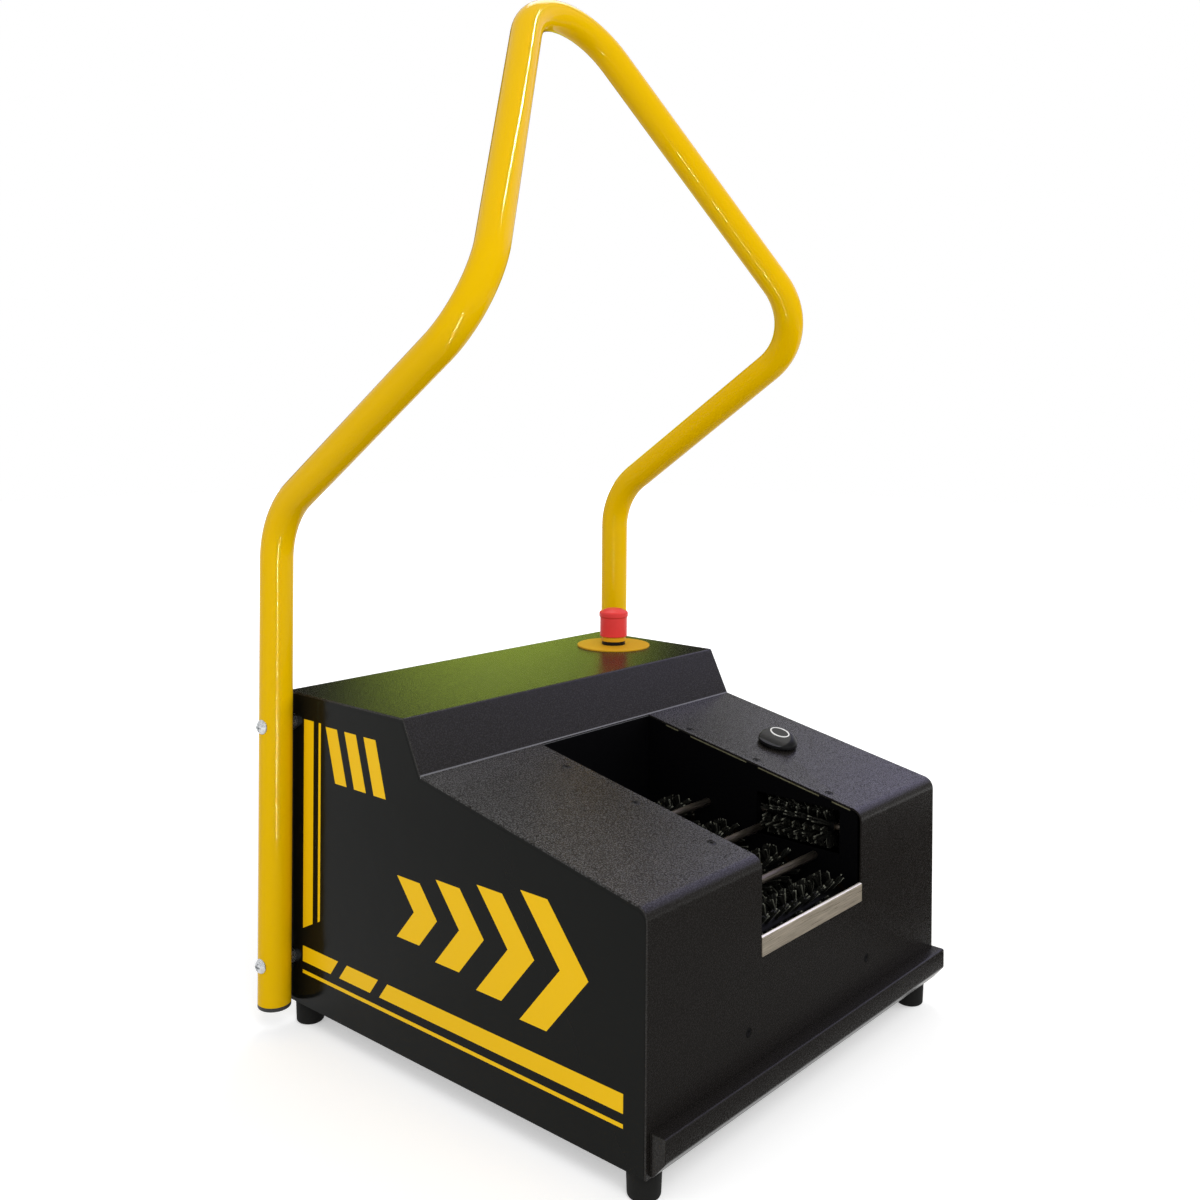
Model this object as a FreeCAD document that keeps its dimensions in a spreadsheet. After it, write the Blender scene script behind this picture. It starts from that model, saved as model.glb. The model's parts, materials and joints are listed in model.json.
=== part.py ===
"""Sole cleaning machine: a floor-standing box whose driven brush rollers clean shoe soles.

The origin is on the floor under the middle of the whole machine. X runs to the user's left and right,
+Y to the back and +Z up. Pieces are drawn from the housing's front face and the floor, and each
piece's Placement moves it back to the middle of the machine's depth.
"""
import FreeCAD, Part
import math
import os
from types import SimpleNamespace

import Sketcher

Vector = FreeCAD.Vector
Rotation = FreeCAD.Rotation

SIZES = {
    # Housing, measured from its front face and its bottom edge
    "housing_width": 490.0,
    "housing_depth": 480.0,
    "housing_height": 318.5,
    "top_edge_depth": 297.0,
    "slope_foot_depth": 272.0,
    "slope_foot_height": 268.5,
    "deck_front_height": 214.5,
    "sheet_thick": 2.0,
    "front_bend": 12.0,
    "top_bend": 3.0,
    "panel_gap": 0.3,
    "cut_overrun": 1.0,
    # Shoe well
    "well_left": 84.0,
    "well_right": 91.5,
    "notch_height": 144.0,
    "wall_bottom": 42.0,
    "flange_reach": 113.5,
    "flange_start": 16.0,
    "strip_thick": 1.0,
    "strip_front_drop": 17.0,
    "strip_back_drop": 8.0,
    "strip_end_gap": 0.2,
    "rail_thick": 3.0,
    "rail_bottom": 58.0,
    "rail_top": 75.0,
    # Rods and rollers
    "rod_radius": 4.0,
    "rod_first_depth": 54.0,
    "rod_back_gap": 80.0,
    "rod_below_deck": 65.0,
    "rod_end_reach": 2.0,
    "hole_play": 0.1,
    "roller_first_depth": 30.0,
    "roller_back_gap": 27.0,
    "roller_below_deck": 93.5,
    "tuft_radius": 26.0,
    "core_radius": 12.0,
    "tuft_end_gap": 5.5,
    "shaft_radius": 8.0,
    "fit_play": 0.05,
    "bearing_radius": 14.0,
    "bearing_flange_radius": 17.0,
    "bearing_flange_thick": 3.0,
    "bearing_length": 12.0,
    # Belt drive, outside the left wall of the well
    "pulley_gap": 2.0,
    "pulley_radius": 11.0,
    "pulley_flange_radius": 13.0,
    "pulley_flange_thick": 1.0,
    "pulley_groove": 7.0,
    "belt_side_play": 0.5,
    "belt_play": 0.3,
    "belt_thick": 1.6,
    # Main motor
    "motor_back_inset": 95.0,
    "motor_height": 150.0,
    "motor_radius": 45.0,
    "motor_bell_radius": 38.0,
    "motor_bell_length": 14.0,
    "motor_length": 140.0,
    "motor_offset": 80.0,
    "motor_shaft_seat": 30.0,
    "bracket_thick": 3.0,
    "bracket_top_half": 40.0,
    "bracket_foot_half": 62.0,
    "bracket_foot_reach": 18.0,
    "bracket_half_depth": 30.0,
    # Side brushes behind windows in the well's walls
    "window_front": 25.0,
    "window_back": 125.0,
    "window_bottom": 167.0,
    "window_top": 211.0,
    "side_brush_height": 189.0,
    "side_brush_set_back": 14.0,
    "side_tuft_radius": 23.0,
    "side_core_radius": 8.0,
    "side_shaft_radius": 4.0,
    "side_brush_end_gap": 10.0,
    "tab_reach": 34.0,
    "tab_half_height": 16.0,
    "side_motor_radius": 12.0,
    "side_motor_length": 44.0,
    "side_motor_gap": 1.0,
    "side_shaft_seat": 6.0,
    # Drawer
    "drawer_side_gap": 30.0,
    "drawer_back": 290.0,
    "drawer_floor_height": 4.0,
    "drawer_top_height": 31.3,
    "drawer_sheet": 1.5,
    "drawer_rim": 11.0,
    "drawer_opening_inset": 15.0,
    "drawer_opening_height": 33.0,
    "lip_inset": 4.0,
    "lip_proud": 16.3,
    "lip_top_height": 37.0,
    "lip_knee_height": 17.5,
    "lip_bottom_height": 2.5,
    "lip_foot_depth": 2.0,
    "runner_reach": 26.0,
    "runner_thick": 2.0,
    "runner_front": 4.0,
    # Feet
    "foot_height": 25.0,
    "foot_radius": 15.0,
    "foot_inset_side": 18.0,
    "foot_inset_front": 16.5,
    "foot_round": 3.0,
    # Handle
    "tube_radius": 16.85,
    "tube_wall": 2.6,
    "handle_gap": 3.65,
    "handle_back_inset": 8.0,
    "elbow_height": 500.0,
    "knee_reach": 302.0,
    "knee_height": 705.0,
    "apex_reach": 108.0,
    "apex_height": 1116.0,
    "handle_bend": 83.0,
    "cap_thick": 4.5,
    "cap_plug_length": 15.0,
    "handle_screw_low": 45.5,
    "handle_screw_drop": 30.5,
    "handle_screw_radius": 3.0,
    "handle_screw_head_radius": 7.5,
    "handle_screw_head_height": 4.5,
    "spacer_radius": 9.0,
    "spacer_wrap": 4.0,
    "post_thick": 12.0,
    "post_depth": 28.0,
    # Countersunk screws of the deck and front
    "screw_radius": 2.0,
    "screw_head_radius": 4.0,
    "screw_head_height": 1.2,
    "screw_length": 7.0,
    "screw_sink": 0.1,
    "screw_offset": 101.0,
    "screw_first_depth": 43.0,
    "screw_back_gap": 52.0,
    "front_screw_offset": 103.0,
    "front_screw_height": 66.5,
    # Stop switch
    "stop_inset": 64.5,
    "stop_back_inset": 80.0,
    "stop_plate_radius": 45.0,
    "stop_plate_thick": 2.0,
    "stop_ring_radius": 14.5,
    "stop_ring_height": 6.5,
    "stop_collar_radius": 15.0,
    "stop_collar_height": 5.5,
    "stop_barrel_radius": 11.0,
    "stop_barrel_drop": 28.0,
    "stop_stem_radius": 7.0,
    "stop_stem_drop": 18.0,
    "stop_head_gap": 0.3,
    "stop_head_radius": 16.75,
    "stop_skirt_depth": 8.0,
    "stop_rim_radius": 17.9,
    "stop_rim_height": 5.0,
    "stop_head_height": 29.0,
    "stop_dome_height": 5.0,
    "stop_dome_flat": 9.0,
    "stop_nut_radius": 16.0,
    "stop_nut_thick": 4.0,
    "contact_block_width": 30.0,
    "contact_block_depth": 40.0,
    "contact_block_height": 34.0,
    # Start button, square to the deck
    "start_depth": 146.0,
    "start_radius": 21.5,
    "start_side_height": 5.5,
    "start_height": 16.0,
    "start_gap": 2.3,
    "start_shoulder": 15.0,
    "start_wall": 3.0,
    "start_hollow": 3.0,
    "start_bezel_radius": 17.0,
    "start_bezel_height": 2.0,
    "start_barrel_radius": 11.0,
    "start_barrel_drop": 10.0,
    "start_stem_radius": 5.0,
    "start_stem_drop": 6.0,
    "start_body_radius": 14.0,
    "start_body_height": 20.0,
    # Control box, vents and inlet at the back
    "box_width": 110.0,
    "box_depth": 120.0,
    "box_side_gap": 25.0,
    "box_back_gap": 50.0,
    "box_top": 120.0,
    "box_wall": 2.5,
    "lid_thick": 2.0,
    "vent_width": 90.0,
    "vent_height": 4.0,
    "vent_pitch": 12.0,
    "vent_top_gap": 40.5,
    "gland_inset": 55.0,
    "gland_height": 60.0,
    "gland_bore_radius": 4.5,
    "gland_radius": 10.0,
    "gland_flange_radius": 14.0,
    "gland_flange_thick": 4.0,
    "gland_nose_length": 4.5,
    "gland_inner_length": 9.0,
    "gland_nut_thick": 5.0,
}

ROLLERS = 4
RODS = 3
SCREWS_A_SIDE = 3
VENTS = 8
NEAR = 0.01
SIDES = {"left": -1, "right": 1}


class Size:
    """A length together with the sheet expression that drives it."""

    def __init__(self, text, value):
        self.text = text
        self.value = value

    def __add__(self, other):
        other = as_size(other)
        return Size(f"({self.text} + {other.text})", self.value + other.value)

    def __sub__(self, other):
        other = as_size(other)
        return Size(f"({self.text} - {other.text})", self.value - other.value)

    def __mul__(self, other):
        other = as_size(other)
        return Size(f"({self.text} * {other.text})", self.value * other.value)

    def __truediv__(self, other):
        other = as_size(other)
        return Size(f"({self.text} / {other.text})", self.value / other.value)

    def __neg__(self):
        return Size(f"(0 - {self.text})", -self.value)

    def __radd__(self, other):
        return as_size(other) + self

    def __rsub__(self, other):
        return as_size(other) - self

    def __rmul__(self, other):
        return as_size(other) * self


def as_size(number):
    return number if isinstance(number, Size) else Size(repr(float(number)), float(number))


def root(size):
    return Size(f"sqrt({size.text})", math.sqrt(size.value))


ZERO = as_size(0)

doc = FreeCAD.newDocument("SoleCleaner")
sheet = doc.addObject("Spreadsheet::Sheet", "Sizes")
for row, (alias, number) in enumerate(SIZES.items(), start=1):
    sheet.set(f"A{row}", alias)
    sheet.set(f"B{row}", str(number))
    sheet.setAlias(f"B{row}", alias)
doc.recompute()
s = SimpleNamespace(**{alias: Size(f"Sizes.{alias}", number) for alias, number in SIZES.items()})

nodes = []


# Places that many pieces share

base = s.foot_height
half_width = s.housing_width / 2
inner_half = half_width - s.sheet_thick
handle_half = half_width + s.handle_gap + s.tube_radius
handle_depth = s.housing_depth - s.handle_back_inset
back_of_machine = handle_depth + s.tube_radius
depth_shift = (s.lip_proud - back_of_machine) / 2
deck_grade = (s.slope_foot_height - s.deck_front_height) / s.slope_foot_depth
deck_secant = root(deck_grade * deck_grade + 1)
slope_run = (s.top_edge_depth - s.slope_foot_depth) / (s.housing_height - s.slope_foot_height)
slope_secant = root(slope_run * slope_run + 1)
deck_turn = Size(f"atan({deck_grade.text})", math.degrees(math.atan(deck_grade.value)))
top_of_housing = base + s.housing_height
well_inner = {"left": s.well_left, "right": s.well_right}
wall_back = s.slope_foot_depth + s.sheet_thick
tray_half = half_width - s.drawer_side_gap
lip_half = half_width - s.lip_inset
drawer_opening_half = half_width - s.drawer_opening_inset
motor_depth = s.housing_depth - s.motor_back_inset
stop_offset = half_width - s.stop_inset
stop_depth = s.housing_depth - s.stop_back_inset
start_place_share = 0.369
start_offset = s.flange_reach + (half_width - s.flange_reach) * start_place_share
last_roller = s.slope_foot_depth - s.roller_back_gap - s.tuft_radius
roller_pitch = (last_roller - s.roller_first_depth) / (ROLLERS - 1)
last_rod = s.slope_foot_depth - s.rod_back_gap - s.rod_radius
rod_pitch = (last_rod - s.rod_first_depth) / (RODS - 1)
last_screw = s.slope_foot_depth - s.screw_back_gap
screw_pitch = (last_screw - s.screw_first_depth) / (SCREWS_A_SIDE - 1)
gland_offset = half_width - s.gland_inset


def deck_height(depth, below=ZERO):
    """Height above the floor of the deck's surface, or of a plane that far under it."""
    return base + s.deck_front_height + deck_grade * depth - below * deck_secant


def housing_chain(inset):
    """Corners of the housing's side outline, front to top, moved inwards by inset."""
    step = inset * (slope_secant - slope_run * deck_secant) / (1 - deck_grade * slope_run)
    foot = s.slope_foot_depth + step
    edge = s.top_edge_depth + inset * (slope_secant - slope_run)
    return [
        (inset, deck_height(inset, inset)),
        (foot, deck_height(foot, inset)),
        (edge, top_of_housing - inset),
    ]


def roller_place(index):
    depth = s.roller_first_depth + roller_pitch * index
    return depth, deck_height(depth) - s.roller_below_deck


def rod_place(index):
    depth = s.rod_first_depth + rod_pitch * index
    return depth, deck_height(depth) - s.rod_below_deck


def span(side, near, far):
    """The two ends of a stretch on one side of the middle, lowest first."""
    return (near, far) if SIDES[side] > 0 else (-far, -near)


# Drawing helpers

def place(item, x=ZERO, y=ZERO, z=ZERO, axis=None, turn=None):
    """Puts an item at a point of the housing's frame, turned about an axis."""
    if axis is not None:
        item.Placement = FreeCAD.Placement(Vector(), Rotation(axis, turn.value))
        if not turn.text.replace(".", "").replace("-", "").isdigit():
            item.setExpression("Placement.Rotation.Angle", turn.text)
    item.setExpression("Placement.Base.x", as_size(x).text)
    item.setExpression("Placement.Base.y", (as_size(y) + depth_shift).text)
    item.setExpression("Placement.Base.z", as_size(z).text)
    return item


ALONG_X = {"axis": Vector(0, 1, 0), "turn": as_size(90)}
AGAINST_X = {"axis": Vector(0, 1, 0), "turn": as_size(-90)}
ALONG_Y = {"axis": Vector(1, 0, 0), "turn": as_size(-90)}
AGAINST_Y = {"axis": Vector(1, 0, 0), "turn": as_size(90)}
OFF_DECK = {"axis": Vector(1, 0, 0), "turn": deck_turn}


def node(item, label):
    item.Label = label
    nodes.append(item)
    return item


def body(name):
    return doc.addObject("PartDesign::Body", name)


def fix_point(sketch, curve, end, x, y):
    """Ties a point of a sketch to its origin with two driven distances."""
    for kind, size in (("DistanceX", as_size(x)), ("DistanceY", as_size(y))):
        rule = sketch.addConstraint(Sketcher.Constraint(kind, -1, 1, curve, end, size.value))
        sketch.setExpression(f"Constraints[{rule}]", size.text)


def outline(sketch, points):
    first = sketch.GeometryCount
    corners = [Vector(as_size(x).value, as_size(y).value, 0) for x, y in points]
    for start, end in zip(corners, corners[1:] + corners[:1]):
        sketch.addGeometry(Part.LineSegment(start, end), False)
    for index in range(len(points)):
        after = first + (index + 1) % len(points)
        sketch.addConstraint(Sketcher.Constraint("Coincident", first + index, 2, after, 1))
    for index, (x, y) in enumerate(points):
        fix_point(sketch, first + index, 1, x, y)


def ring(sketch, x, y, radius):
    centre = Vector(as_size(x).value, as_size(y).value, 0)
    curve = sketch.addGeometry(Part.Circle(centre, Vector(0, 0, 1), radius.value), False)
    fix_point(sketch, curve, 3, x, y)
    rule = sketch.addConstraint(Sketcher.Constraint("Radius", curve, radius.value))
    sketch.setExpression(f"Constraints[{rule}]", radius.text)


def rectangle(left, right, bottom, top):
    return [(left, bottom), (right, bottom), (right, top), (left, top)]


def sketch_on(piece, plane, start, on_deck=False):
    """A sketch on one of the body's planes, start along its positive axis, or start off the deck."""
    sketch = piece.newObject("Sketcher::SketchObject", "Sketch")
    role = [item for item in piece.Origin.OriginFeatures if item.Role == plane][0]
    sketch.AttachmentSupport = [(role, "")]
    sketch.MapMode = "FlatFace"
    if on_deck:
        sketch.AttachmentOffset = FreeCAD.Placement(Vector(), Rotation(Vector(1, 0, 0), deck_turn.value))
        sketch.setExpression("AttachmentOffset.Rotation.Angle", deck_turn.text)
        rise = base + s.deck_front_height + start / deck_secant
        sketch.setExpression("AttachmentOffset.Base.y", (-(start * deck_grade / deck_secant)).text)
        sketch.setExpression("AttachmentOffset.Base.z", rise.text)
    else:
        away = -as_size(start) if plane == "XZ_Plane" else as_size(start)
        sketch.setExpression("AttachmentOffset.Base.z", away.text)
    return sketch


def draw(sketch, outlines, rings):
    for points in outlines:
        outline(sketch, points)
    for x, y, radius in rings:
        ring(sketch, x, y, radius)


def pad(piece, plane, start, end, outlines=(), rings=(), on_deck=False):
    """Adds the drawn faces as a block from start to end along the plane's positive axis."""
    sketch = sketch_on(piece, plane, start, on_deck)
    draw(sketch, outlines, rings)
    block = piece.newObject("PartDesign::Pad", "Pad")
    block.Profile = sketch
    block.Reversed = plane == "XZ_Plane"
    block.Length = end.value - as_size(start).value
    block.setExpression("Length", (end - start).text)
    doc.recompute()
    return block


def cut(piece, plane, start, end, outlines=(), rings=(), on_deck=False):
    """Removes the drawn faces from start to end along the plane's positive axis."""
    before = piece.Shape.Volume
    sketch = sketch_on(piece, plane, start, on_deck)
    draw(sketch, outlines, rings)
    pocket = piece.newObject("PartDesign::Pocket", "Pocket")
    pocket.Profile = sketch
    pocket.Reversed = plane != "XZ_Plane"
    pocket.Length = end.value - as_size(start).value
    pocket.setExpression("Length", (end - start).text)
    doc.recompute()
    if piece.Shape.Volume >= before - NEAR:
        raise RuntimeError(f"a pocket of {piece.Name} removed nothing")
    return pocket


def turned(name, profile):
    """A body turned about Z from points of radius and height."""
    piece = body(name)
    sketch = sketch_on(piece, "XZ_Plane", ZERO)
    outline(sketch, profile)
    lathe = piece.newObject("PartDesign::Revolution", "Revolution")
    lathe.Profile = sketch
    lathe.ReferenceAxis = (sketch, ["V_Axis"])
    lathe.Angle = 360
    doc.recompute()
    return piece


def round_edges(piece, radius, places):
    """Rounds the edges along X that pass through the given depths and heights."""
    tip = piece.Tip
    names = []
    for index, edge in enumerate(tip.Shape.Edges, start=1):
        for depth, height in places:
            off = [abs(v.Y - depth.value) + abs(v.Z - height.value) for v in edge.Vertexes]
            if len(off) == 2 and max(off) < NEAR:
                names.append(f"Edge{index}")
    if not names:
        raise RuntimeError(f"{piece.Name} has no edge to round")
    fillet = piece.newObject("PartDesign::Fillet", "Round")
    fillet.Base = (tip, names)
    fillet.Radius = radius.value
    fillet.setExpression("Radius", radius.text)
    doc.recompute()


def cylinder(name, radius, height, **where):
    item = doc.addObject("Part::Cylinder", name)
    item.setExpression("Radius", radius.text)
    item.setExpression("Height", height.text)
    return place(item, **where)


def box(name, low, high):
    item = doc.addObject("Part::Box", name)
    for side, near, far in zip(("Length", "Width", "Height"), low, high):
        item.setExpression(side, (as_size(far) - near).text)
    return place(item, *low)


def carved(name, blank, tools):
    """The blank with every tool cut out of it."""
    for index, tool in enumerate(tools):
        result = doc.addObject("Part::Cut", f"{name}_cut_{index}")
        result.Base = blank
        result.Tool = tool
        blank = result
    return blank


def group(label, members):
    """Separate solids that share one node."""
    item = doc.addObject("Part::Compound", label)
    item.Links = members
    return node(item, label)


# Housing

def top_cover():
    """One folded sheet: front face, sloping deck, slope and top, with the shoe opening cut in it."""
    piece = body("top_cover")
    outer = housing_chain(ZERO)
    inner = housing_chain(s.sheet_thick)
    back_top = [(s.housing_depth, top_of_housing), (s.housing_depth, top_of_housing - s.sheet_thick)]
    profile = [(ZERO, base)] + outer + back_top + inner[::-1] + [(s.sheet_thick, base)]
    pad(piece, "YZ_Plane", -half_width, half_width, [profile])
    round_edges(piece, s.front_bend, [outer[0]])
    round_edges(piece, s.front_bend - s.sheet_thick, [inner[0]])
    round_edges(piece, s.top_bend, [outer[2]])
    notch = rectangle(-s.well_left, s.well_right, -s.cut_overrun, s.slope_foot_depth)
    cut(piece, "XY_Plane", base + s.notch_height, top_of_housing, [notch])
    drawer_hole = rectangle(-drawer_opening_half, drawer_opening_half,
                            base - s.cut_overrun, base + s.drawer_opening_height)
    past_sheet = s.sheet_thick + s.cut_overrun
    cut(piece, "XZ_Plane", -s.cut_overrun, past_sheet, [drawer_hole])
    hole = s.stop_barrel_radius + s.hole_play
    cut(piece, "XY_Plane", top_of_housing - past_sheet, top_of_housing + s.cut_overrun,
        rings=[(stop_offset, stop_depth, hole)])
    deck_holes = [(start_offset, s.start_depth * deck_secant, s.start_barrel_radius + s.hole_play)]
    deck_holes += [(x, y, s.screw_radius + s.hole_play) for x, y in deck_screw_places()]
    cut(piece, "XY_Plane", -past_sheet, s.cut_overrun, rings=deck_holes, on_deck=True)
    seats = [(x, y, s.screw_head_radius + s.hole_play) for x, y in deck_screw_places()]
    sink = s.screw_head_height + s.screw_sink
    cut(piece, "XY_Plane", -sink, s.cut_overrun, rings=seats, on_deck=True)
    fronts = [(x, base + s.front_screw_height) for x in (-s.front_screw_offset, s.front_screw_offset)]
    cut(piece, "XZ_Plane", -s.cut_overrun, past_sheet,
        rings=[(x, z, s.screw_radius + s.hole_play) for x, z in fronts])
    cut(piece, "XZ_Plane", -s.cut_overrun, sink,
        rings=[(x, z, s.screw_head_radius + s.hole_play) for x, z in fronts])
    node(place(piece), "top_cover")


def deck_screw_places():
    """Deck screws as distances across and up the deck."""
    places = []
    for index in range(SCREWS_A_SIDE):
        along = (s.screw_first_depth + screw_pitch * index) * deck_secant
        places += [(-s.screw_offset, along), (s.screw_offset, along)]
    return places


def handle_screw_places():
    high = s.housing_height - s.handle_screw_drop
    return [(handle_depth, base + height) for height in (s.handle_screw_low, high)]


def side_panel(side):
    piece = body(f"side_panel_{side}")
    chain = housing_chain(s.sheet_thick)
    profile = [(s.sheet_thick, base)] + chain
    profile += [(s.housing_depth, top_of_housing - s.sheet_thick), (s.housing_depth, base)]
    low, high = span(side, inner_half, half_width)
    pad(piece, "YZ_Plane", low, high, [profile])
    round_edges(piece, s.front_bend - s.sheet_thick, [chain[0]])
    holes = [(y, z, s.handle_screw_radius + s.hole_play) for y, z in handle_screw_places()]
    cut(piece, "YZ_Plane", low - s.cut_overrun, high + s.cut_overrun, rings=holes)
    node(place(piece), f"side_panel_{side}")


def rear_panel():
    piece = body("rear_panel")
    face = rectangle(-inner_half, inner_half, base, top_of_housing - s.sheet_thick)
    front = s.housing_depth - s.sheet_thick
    pad(piece, "XZ_Plane", front, s.housing_depth, [face])
    slots = []
    highest = top_of_housing - s.vent_top_gap - s.vent_height
    for index in range(VENTS):
        low = highest - s.vent_pitch * index
        slots.append(rectangle(-s.vent_width / 2, s.vent_width / 2, low, low + s.vent_height))
    inlet = (-gland_offset, base + s.gland_height, s.gland_radius + s.hole_play)
    cut(piece, "XZ_Plane", front - s.cut_overrun, s.housing_depth + s.cut_overrun, slots, [inlet])
    node(place(piece), "rear_panel")


def base_plate():
    low = (-inner_half, s.sheet_thick, base)
    high = (inner_half, s.housing_depth - s.sheet_thick, base + s.sheet_thick)
    node(box("base_plate", low, high), "base_plate")


def rear_posts():
    """Bars inside the rear corners that the handle's screws bite into."""
    bars = []
    back = s.housing_depth - s.sheet_thick
    for side in SIDES:
        low, high = span(side, inner_half - s.post_thick, inner_half)
        bar = box(f"post_{side}", (low, back - s.post_depth, base + s.sheet_thick),
                  (high, back, top_of_housing - s.sheet_thick))
        drills = []
        for y, z in handle_screw_places():
            drills.append(cylinder(f"post_drill_{side}", s.handle_screw_radius + s.fit_play,
                                   s.post_thick, x=low, y=y, z=z, **ALONG_X))
        bars.append(carved(f"post_{side}", bar, drills))
    group("rear_posts", bars)


def rubber_feet():
    feet = []
    radius = s.foot_radius
    profile = [(ZERO, ZERO), (radius - s.foot_round, ZERO), (radius - s.foot_round / 3, s.foot_round / 3),
               (radius, s.foot_round), (radius, s.foot_height), (ZERO, s.foot_height)]
    for side, sign in SIDES.items():
        for y in (s.foot_inset_front, s.housing_depth - s.foot_inset_front):
            foot = turned(f"foot_{side}", profile)
            feet.append(place(foot, x=sign * (half_width - s.foot_inset_side), y=y))
    group("rubber_feet", feet)


# Shoe well

def well_wall(side):
    """A side wall of the well, with its flange under the deck, window, bearing holes and tabs."""
    inner = well_inner[side]
    front = s.sheet_thick + s.rail_thick
    low, high = span(side, inner, inner + s.sheet_thick)
    piece = body(f"well_wall_{side}")
    corner = (front, deck_height(front, s.sheet_thick))
    profile = [(front, base + s.wall_bottom), corner,
               (s.slope_foot_depth, deck_height(s.slope_foot_depth, s.sheet_thick)),
               (wall_back, deck_height(s.slope_foot_depth, s.sheet_thick)),
               (wall_back, base + s.wall_bottom)]
    pad(piece, "YZ_Plane", low, high, [profile])
    round_edges(piece, s.front_bend - s.sheet_thick, [corner])
    start, end = span(side, inner, s.flange_reach)
    flange = rectangle(start, end, s.flange_start * deck_secant, s.slope_foot_depth * deck_secant)
    pad(piece, "XY_Plane", -(s.sheet_thick * 2), -s.sheet_thick, [flange], on_deck=True)
    holes = [(x, y, s.screw_radius + s.hole_play) for x, y in deck_screw_places()
             if x.value * SIDES[side] > 0]
    cut(piece, "XY_Plane", -(s.sheet_thick * 2) - s.cut_overrun, -s.sheet_thick + s.cut_overrun,
        rings=holes, on_deck=True)
    tab_start, tab_end = span(side, inner + s.sheet_thick, inner + s.tab_reach)
    axle = SIDES[side] * (inner + s.side_brush_set_back)
    middle = base + s.side_brush_height
    face = rectangle(tab_start, tab_end, middle - s.tab_half_height, middle + s.tab_half_height)
    for depth in (s.window_front - s.sheet_thick, s.window_back):
        pad(piece, "XZ_Plane", depth, depth + s.sheet_thick, [face])
    cut(piece, "XZ_Plane", s.window_front - s.sheet_thick - s.cut_overrun,
        s.window_back + s.sheet_thick + s.cut_overrun,
        rings=[(axle, middle, s.side_shaft_radius + s.fit_play)])
    window = rectangle(s.window_front, s.window_back, base + s.window_bottom, base + s.window_top)
    rings = []
    for index in range(ROLLERS):
        y, z = roller_place(index)
        rings.append((y, z, s.bearing_radius + s.fit_play))
    for index in range(RODS):
        y, z = rod_place(index)
        rings.append((y, z, s.rod_radius + s.fit_play))
    cut(piece, "YZ_Plane", low - s.cut_overrun, high + s.cut_overrun, [window], rings)
    node(place(piece), f"well_wall_{side}")


def well_wall_rear():
    low = (-s.well_left, s.slope_foot_depth, base + s.wall_bottom)
    high = (s.well_right, wall_back, deck_height(s.slope_foot_depth, s.sheet_thick))
    node(box("well_wall_rear", low, high), "well_wall_rear")


def support_rods():
    """Three bars across the well that carry the shoe just above the rollers."""
    rods = []
    left = -(s.well_left + s.sheet_thick + s.rod_end_reach)
    right = s.well_right + s.sheet_thick + s.rod_end_reach
    for index in range(RODS):
        y, z = rod_place(index)
        rods.append(cylinder(f"rod_{index + 1}", s.rod_radius, right - left, x=left, y=y, z=z, **ALONG_X))
    group("support_rods", rods)


def edge_strip():
    """Polished strip folded over the lower lip of the opening in the front face."""
    lip = base + s.notch_height
    thick = s.strip_thick
    back = s.sheet_thick
    profile = [(-thick, lip - s.strip_front_drop), (ZERO, lip - s.strip_front_drop), (ZERO, lip),
               (back, lip), (back, lip - s.strip_back_drop), (back + thick, lip - s.strip_back_drop),
               (back + thick, lip + thick), (-thick, lip + thick)]
    piece = body("edge_strip")
    pad(piece, "YZ_Plane", -s.well_left + s.strip_end_gap, s.well_right - s.strip_end_gap, [profile])
    round_edges(piece, thick, [profile[-1]])
    node(place(piece), "edge_strip")


def front_rail():
    piece = body("front_rail")
    face = rectangle(-s.flange_reach, s.flange_reach, base + s.rail_bottom, base + s.rail_top)
    back = s.sheet_thick + s.rail_thick
    pad(piece, "XZ_Plane", s.sheet_thick, back, [face])
    rings = []
    for x in (-s.front_screw_offset, s.front_screw_offset):
        rings.append((x, base + s.front_screw_height, s.screw_radius + s.hole_play))
    cut(piece, "XZ_Plane", s.sheet_thick - s.cut_overrun, back + s.cut_overrun, rings=rings)
    node(place(piece), "front_rail")


def cover_screws():
    """Countersunk screws of the deck and the front face, all alike."""
    head_top = -s.screw_sink
    under = head_top - s.screw_head_height
    profile = [(ZERO, head_top), (s.screw_head_radius, head_top), (s.screw_head_radius, under),
               (s.screw_radius, under), (s.screw_radius, under - s.screw_length),
               (ZERO, under - s.screw_length)]
    screws = []
    for x, along in deck_screw_places():
        depth = along / deck_secant
        screw = turned("cover_screw", profile)
        screws.append(place(screw, x=x, y=depth, z=deck_height(depth), **OFF_DECK))
    for x in (-s.front_screw_offset, s.front_screw_offset):
        screw = turned("cover_screw", profile)
        screws.append(place(screw, x=x, z=base + s.front_screw_height, **AGAINST_Y))
    group("cover_screws", screws)


# Brush rollers and their drive

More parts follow.
